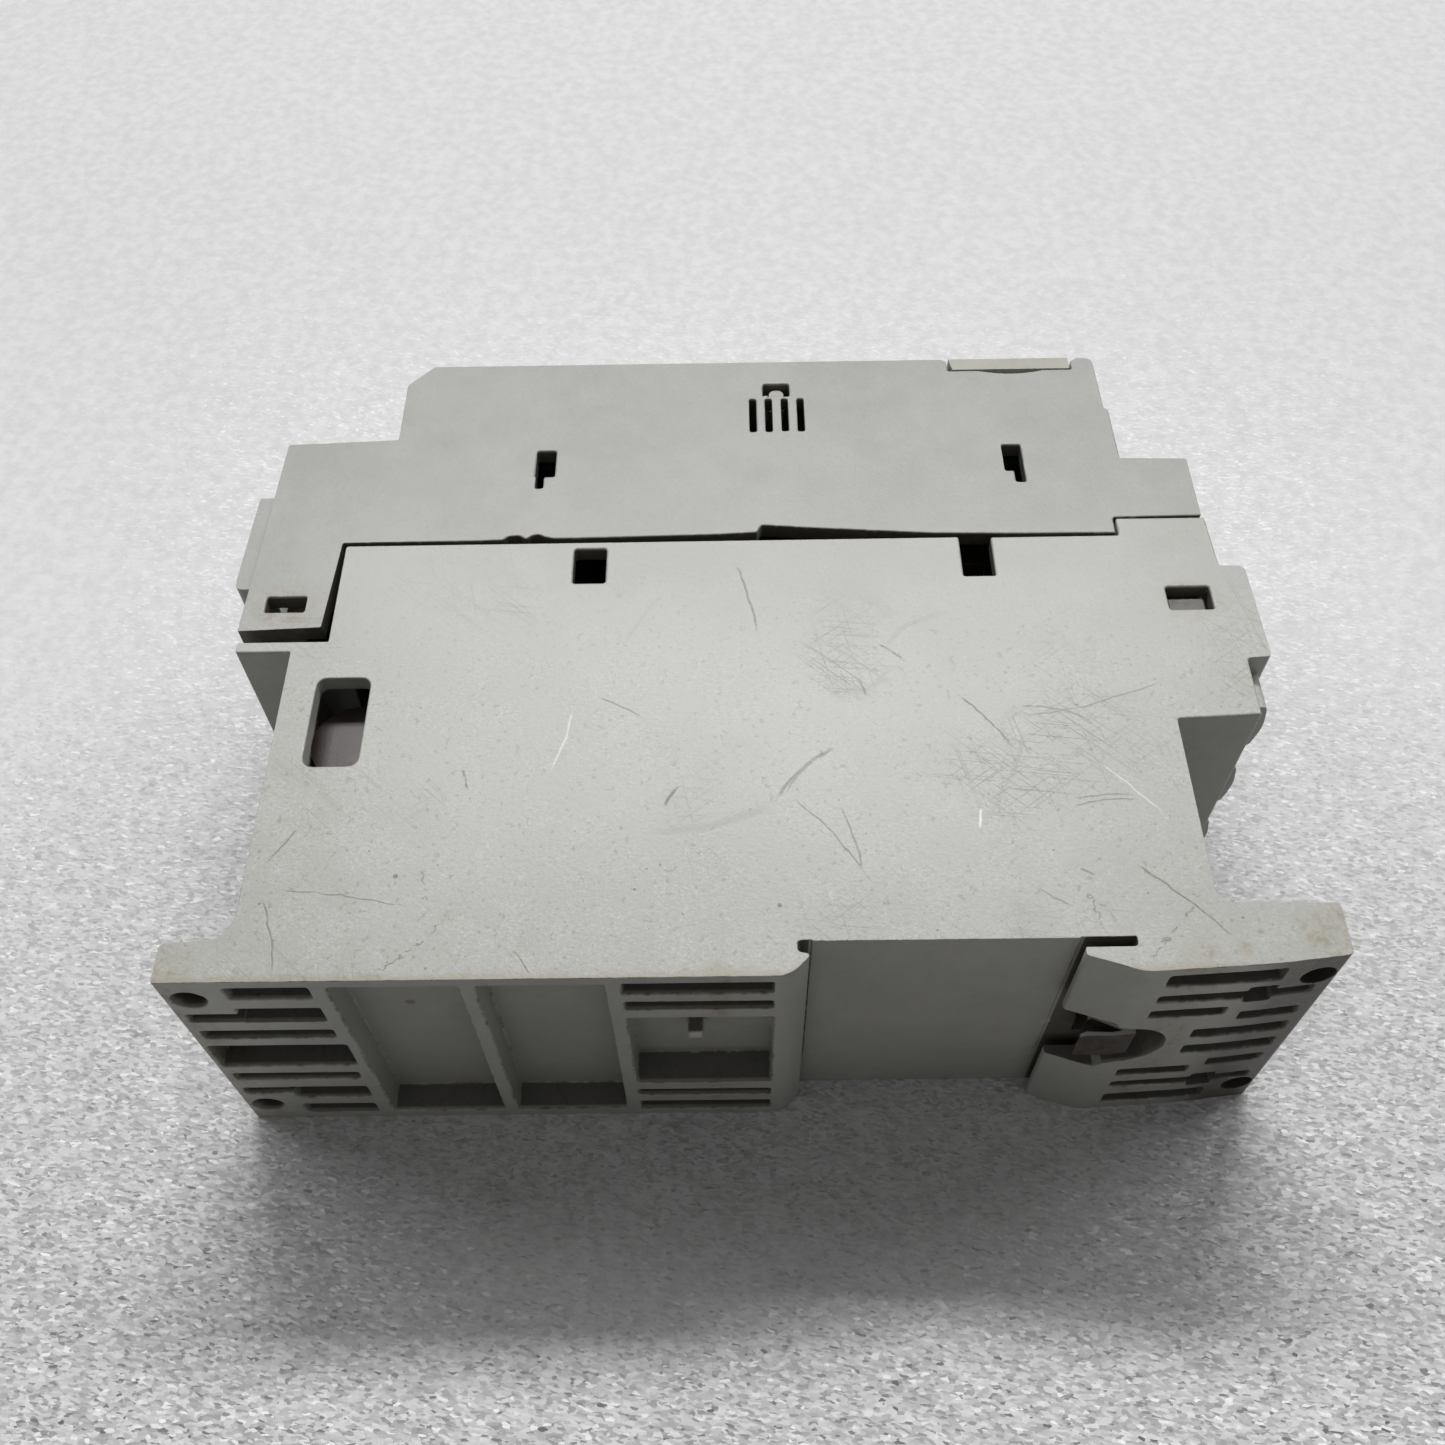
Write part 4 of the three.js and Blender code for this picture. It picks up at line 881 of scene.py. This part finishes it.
def weigh_edges(mesh, width):
    """Sets the rounding of each chain of sharp edges from the room along it."""
    weight = mesh.edges.layers.float["bevel_weight_edge"]
    sharp = {e for e in mesh.edges if e.is_manifold and e.calc_face_angle(0) > SHARP}
    room = edge_room(mesh, sharp, width * MM / ROOM_SHARE)
    for chain in edge_chains(sharp):
        total = sum(e.calc_length() for e in chain)
        passed = 0
        for edge in sorted(chain, key=room.get):
            passed += edge.calc_length()
            if passed > CROWDED_SHARE * total:
                break
        chosen = max(LEAST_ROUND * MM, ROOM_SHARE * room[edge])
        for member in chain:
            member[weight] = min(1.0, chosen / (width * MM))


def plane_axes(normal):
    """Two directions that span the plane of a normal, turning counter-clockwise around it."""
    helper = Vector((1, 0, 0)) if abs(normal.x) < 0.8 else Vector((0, 1, 0))
    across = normal.cross(helper).normalized()
    return across, normal.cross(across)


def winding(x, y, sides):
    """How many times the directed sides turn around a point."""
    turns = 0
    for (x0, y0), (x1, y1) in sides:
        if (y0 <= y) != (y1 <= y):
            left_of = (x1 - x0) * (y - y0) - (x - x0) * (y1 - y0)
            if y0 <= y and left_of > 0:
                turns += 1
            elif y0 > y and left_of < 0:
                turns -= 1
    return turns


def refill_patch(mesh, faces, normal, layers):
    """Fills a flat patch again from its outline, so that crossing corners leave no folds."""
    directed = set()
    for face in faces:
        for loop in face.loops:
            start, end = loop.vert, loop.link_loop_next.vert
            if (end, start) in directed:
                directed.remove((end, start))
            else:
                directed.add((start, end))
    bmesh.ops.delete(mesh, geom=faces, context="FACES_ONLY")
    if len(directed) < 3:
        return
    corners = list({v for side in directed for v in side})
    index = {v: i for i, v in enumerate(corners)}
    across, along = plane_axes(normal)
    middle = corners[0].co.copy()
    flat = [Vector(((v.co - middle).dot(across), (v.co - middle).dot(along))) / MM for v in corners]
    sides = [(flat[index[a]], flat[index[b]]) for a, b in directed]
    filled = delaunay_2d_cdt(flat, [(index[a], index[b]) for a, b in directed], [], 0, 1e-5)
    points, triangles, origins = filled[0], filled[2], filled[3]
    used = {}
    for triangle in triangles:
        x = sum(points[i].x for i in triangle) / 3
        y = sum(points[i].y for i in triangle) / 3
        if winding(x, y, sides) < 1:
            continue
        for i in triangle:
            if i not in used:
                used[i] = corners[origins[i][0]] if origins[i] else mesh.verts.new(
                    middle + (across * points[i].x + along * points[i].y) * MM)
        made = [used[i] for i in triangle]
        if len(set(made)) < 3 or mesh.faces.get(made):
            continue
        face = mesh.faces.new(made)
        face[layers[0]] = layers[1]


def round_edges(mesh, width):
    """Rounds the sharp edges and marks the new faces in the "rim" layer."""
    mesh.edges.layers.float.new("bevel_weight_edge")
    mesh.faces.layers.int.new("patch")
    normals = number_patches(mesh)
    weigh_edges(mesh, width)
    data = bpy.data.meshes.new("sharp")
    mesh.to_mesh(data)
    mesh.free()
    for name in ("flat", "rim"):
        data.materials.append(bpy.data.materials.new(name))
    piece = bpy.data.objects.new("sharp", data)
    bpy.context.scene.collection.objects.link(piece)
    rounding = piece.modifiers.new("rounding", "BEVEL")
    rounding.width = width * MM
    rounding.segments = ROUND_SEGMENTS
    rounding.limit_method = "WEIGHT"
    rounding.miter_outer = "MITER_ARC"
    rounding.use_clamp_overlap = False
    rounding.material = 1
    rounded = bmesh.new()
    rounded.from_object(piece, bpy.context.evaluated_depsgraph_get())
    bpy.data.objects.remove(piece)
    rim = rounded.faces.layers.float.new("rim")
    patch = rounded.faces.layers.int["patch"]
    patches = {}
    for face in rounded.faces:
        if face.material_index:
            face[rim] = 1.0
            face[patch] = 0
            face.material_index = 0
        else:
            patches.setdefault(face[patch], []).append(face)
    for number, faces in patches.items():
        refill_patch(rounded, faces, normals[number], (patch, number))
    loose = [e for e in rounded.edges if not e.link_faces]
    bmesh.ops.delete(rounded, geom=loose, context="EDGES")
    return rounded, normals


def shading_normals(mesh, normals):
    """A normal for each corner: flat patches keep their own, and the rounding blends between them."""
    patch = mesh.faces.layers.int["patch"]
    area = [0.0] * len(normals)
    for face in mesh.faces:
        area[face[patch]] += face.calc_area()
    around = {}
    for vert in mesh.verts:
        around[vert] = {f[patch] for f in vert.link_faces if f[patch]}
    result = []
    for face in mesh.faces:
        own = normals[face[patch]] if face[patch] else face.normal
        reach = math.cos(SHARP) if face[patch] else ROUND_REACH
        for loop in face.loops:
            blend = Vector((0, 0, 0))
            for number in around[loop.vert]:
                if normals[number].dot(own) > reach:
                    blend += normals[number] * area[number]
            if blend.length_squared < 1e-24:
                for other in loop.vert.link_faces:
                    if other.normal.dot(own) > 0.5:
                        blend += other.normal * other.calc_area()
            result.append(blend.normalized() if blend.length_squared > 1e-30 else own.normalized())
    return result


def finish_mesh(name, rounded, material, body, replaced=()):
    """Turns a rounded bmesh into a smooth-shaded piece that rides on a body."""
    mesh, normals = rounded
    mesh.normal_update()
    for face in mesh.faces:
        face.smooth = True
    corner_normals = shading_normals(mesh, normals)
    data = bpy.data.meshes.new(name)
    mesh.to_mesh(data)
    mesh.free()
    data.normals_split_custom_set(corner_normals)
    data.materials.append(material)
    piece = bpy.data.objects.new(name, data)
    bpy.context.scene.collection.objects.link(piece)
    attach(piece, body)
    if replaced:
        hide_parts(*replaced)
    return piece


def dress_node(node, material, bevel):
    """Keeps a CAD node and gives it rounded edges and a material."""
    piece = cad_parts[node]
    for polygon in piece.data.polygons:
        polygon.use_smooth = True
    weld = piece.modifiers.new("weld", "WELD")
    weld.merge_threshold = CLOSE
    flatten = piece.modifiers.new("flatten", "DECIMATE")
    flatten.decimate_type = "DISSOLVE"
    flatten.angle_limit = STRAIGHT
    rounding = piece.modifiers.new("rounding", "BEVEL")
    rounding.width = bevel * MM
    rounding.segments = ROUND_SEGMENTS
    rounding.limit_method = "ANGLE"
    rounding.angle_limit = NODE_SHARP
    piece.modifiers.new("weighted_normals", "WEIGHTED_NORMAL")
    piece.data.materials.clear()
    piece.data.materials.append(material)


# ---------------------------------------------------------------- pieces

def make_shells(materials):
    base = round_edges(node_mesh("base_housing"), BASE_ROUND)
    finish_mesh("base_shell", base, materials["base"], "housing", ("base_housing",))
    cover = round_edges(node_mesh("front_cover"), COVER_ROUND)
    finish_mesh("cover_shell", cover, materials["cover"], "housing", ("front_cover",))


def make_small_pieces(materials):
    looks = [
        ("front_flap", "flap", 0.35), ("rail_spring", "spring", 0.12),
        ("load_terminal_block", "terminal", 0.2), ("line_terminal_block", "terminal", 0.2),
        ("control_terminal_block", "terminal", 0.2), ("heat_sink", "aluminium", 0.15),
        ("power_board", "board", 0.05), ("control_board", "board", 0.05),
        ("supply_transformer", "winding", 0.5), ("filter_capacitor", "sleeve", 0.5),
        ("riser_connector", "module", 0.2), ("reset_button", "button", 0.3),
        ("label_plate", "label", 0.1),
    ]
    looks += [(f"setting_dial_{i}", "dial", 0.25) for i in (1, 2, 3)]
    looks += [(f"light_pipe_{i}", "acrylic", 0.2) for i in (1, 2)]
    for end in ("load", "line"):
        for i in (1, 2, 3):
            looks += [
                (f"{end}_clamp_cage_{i}", "plated", 0.15), (f"{end}_clamp_screw_{i}", "plated", 0.12),
                (f"{end}_busbar_{i}", "copper", 0.1),
            ]
    for i in (1, 2, 3, 4):
        looks += [
            (f"control_clamp_cage_{i}", "plated", 0.1), (f"control_clamp_screw_{i}", "plated", 0.08),
            (f"control_contact_{i}", "copper", 0.06),
        ]
    for i in (1, 2, 3):
        looks += [
            (f"thyristor_module_{i}", "module", 0.2), (f"varistor_{i}", "varistor", 0.5),
            (f"current_transformer_{i}", "ferrite", 0.3),
        ]
    for node, look, bevel in looks:
        dress_node(node, materials[look], bevel)


def make_materials():
    return {
        "base": housing_plastic("base_plastic", True),
        "cover": housing_plastic("cover_plastic", False),
        "flap": moulded("flap_plastic", (0.345, 0.338, 0.290), 0.5, dirt=0.25),
        "terminal": moulded("terminal_plastic", (0.060, 0.060, 0.057), 0.55, 0.25),
        "spring": leaf_spring("spring_steel"),
        "plated": metal("zinc_plate", (0.66, 0.64, 0.58), 0.26),
        "copper": metal("tinned_copper", (0.64, 0.57, 0.46), 0.3),
        "aluminium": metal("extruded_aluminium", (0.66, 0.67, 0.68), 0.34),
        "board": circuit_board("board_mask"),
        "module": moulded("module_epoxy", (0.022, 0.022, 0.024), 0.42, 0.3),
        "varistor": moulded("varistor_epoxy", (0.034, 0.022, 0.020), 0.4, 0.3),
        "ferrite": moulded("ferrite_coat", (0.040, 0.041, 0.046), 0.5, 0.3),
        "winding": moulded("winding_tape", (0.070, 0.052, 0.026), 0.4, 0.2),
        "sleeve": moulded("capacitor_sleeve", (0.012, 0.022, 0.050), 0.28, 0.4),
        "dial": moulded("dial_plastic", (0.70, 0.69, 0.61), 0.42, 0.08),
        "button": moulded("button_plastic", (0.022, 0.130, 0.400), 0.35, 0.15),
        "acrylic": clear_acrylic("clear_acrylic"),
        "label": moulded("label_stock", (0.66, 0.66, 0.63), 0.4, 0.05, dirt=0.1),
    }


make_camera()
make_lights()
make_floor()
surfaces = make_materials()
make_shells(surfaces)
make_small_pieces(surfaces)
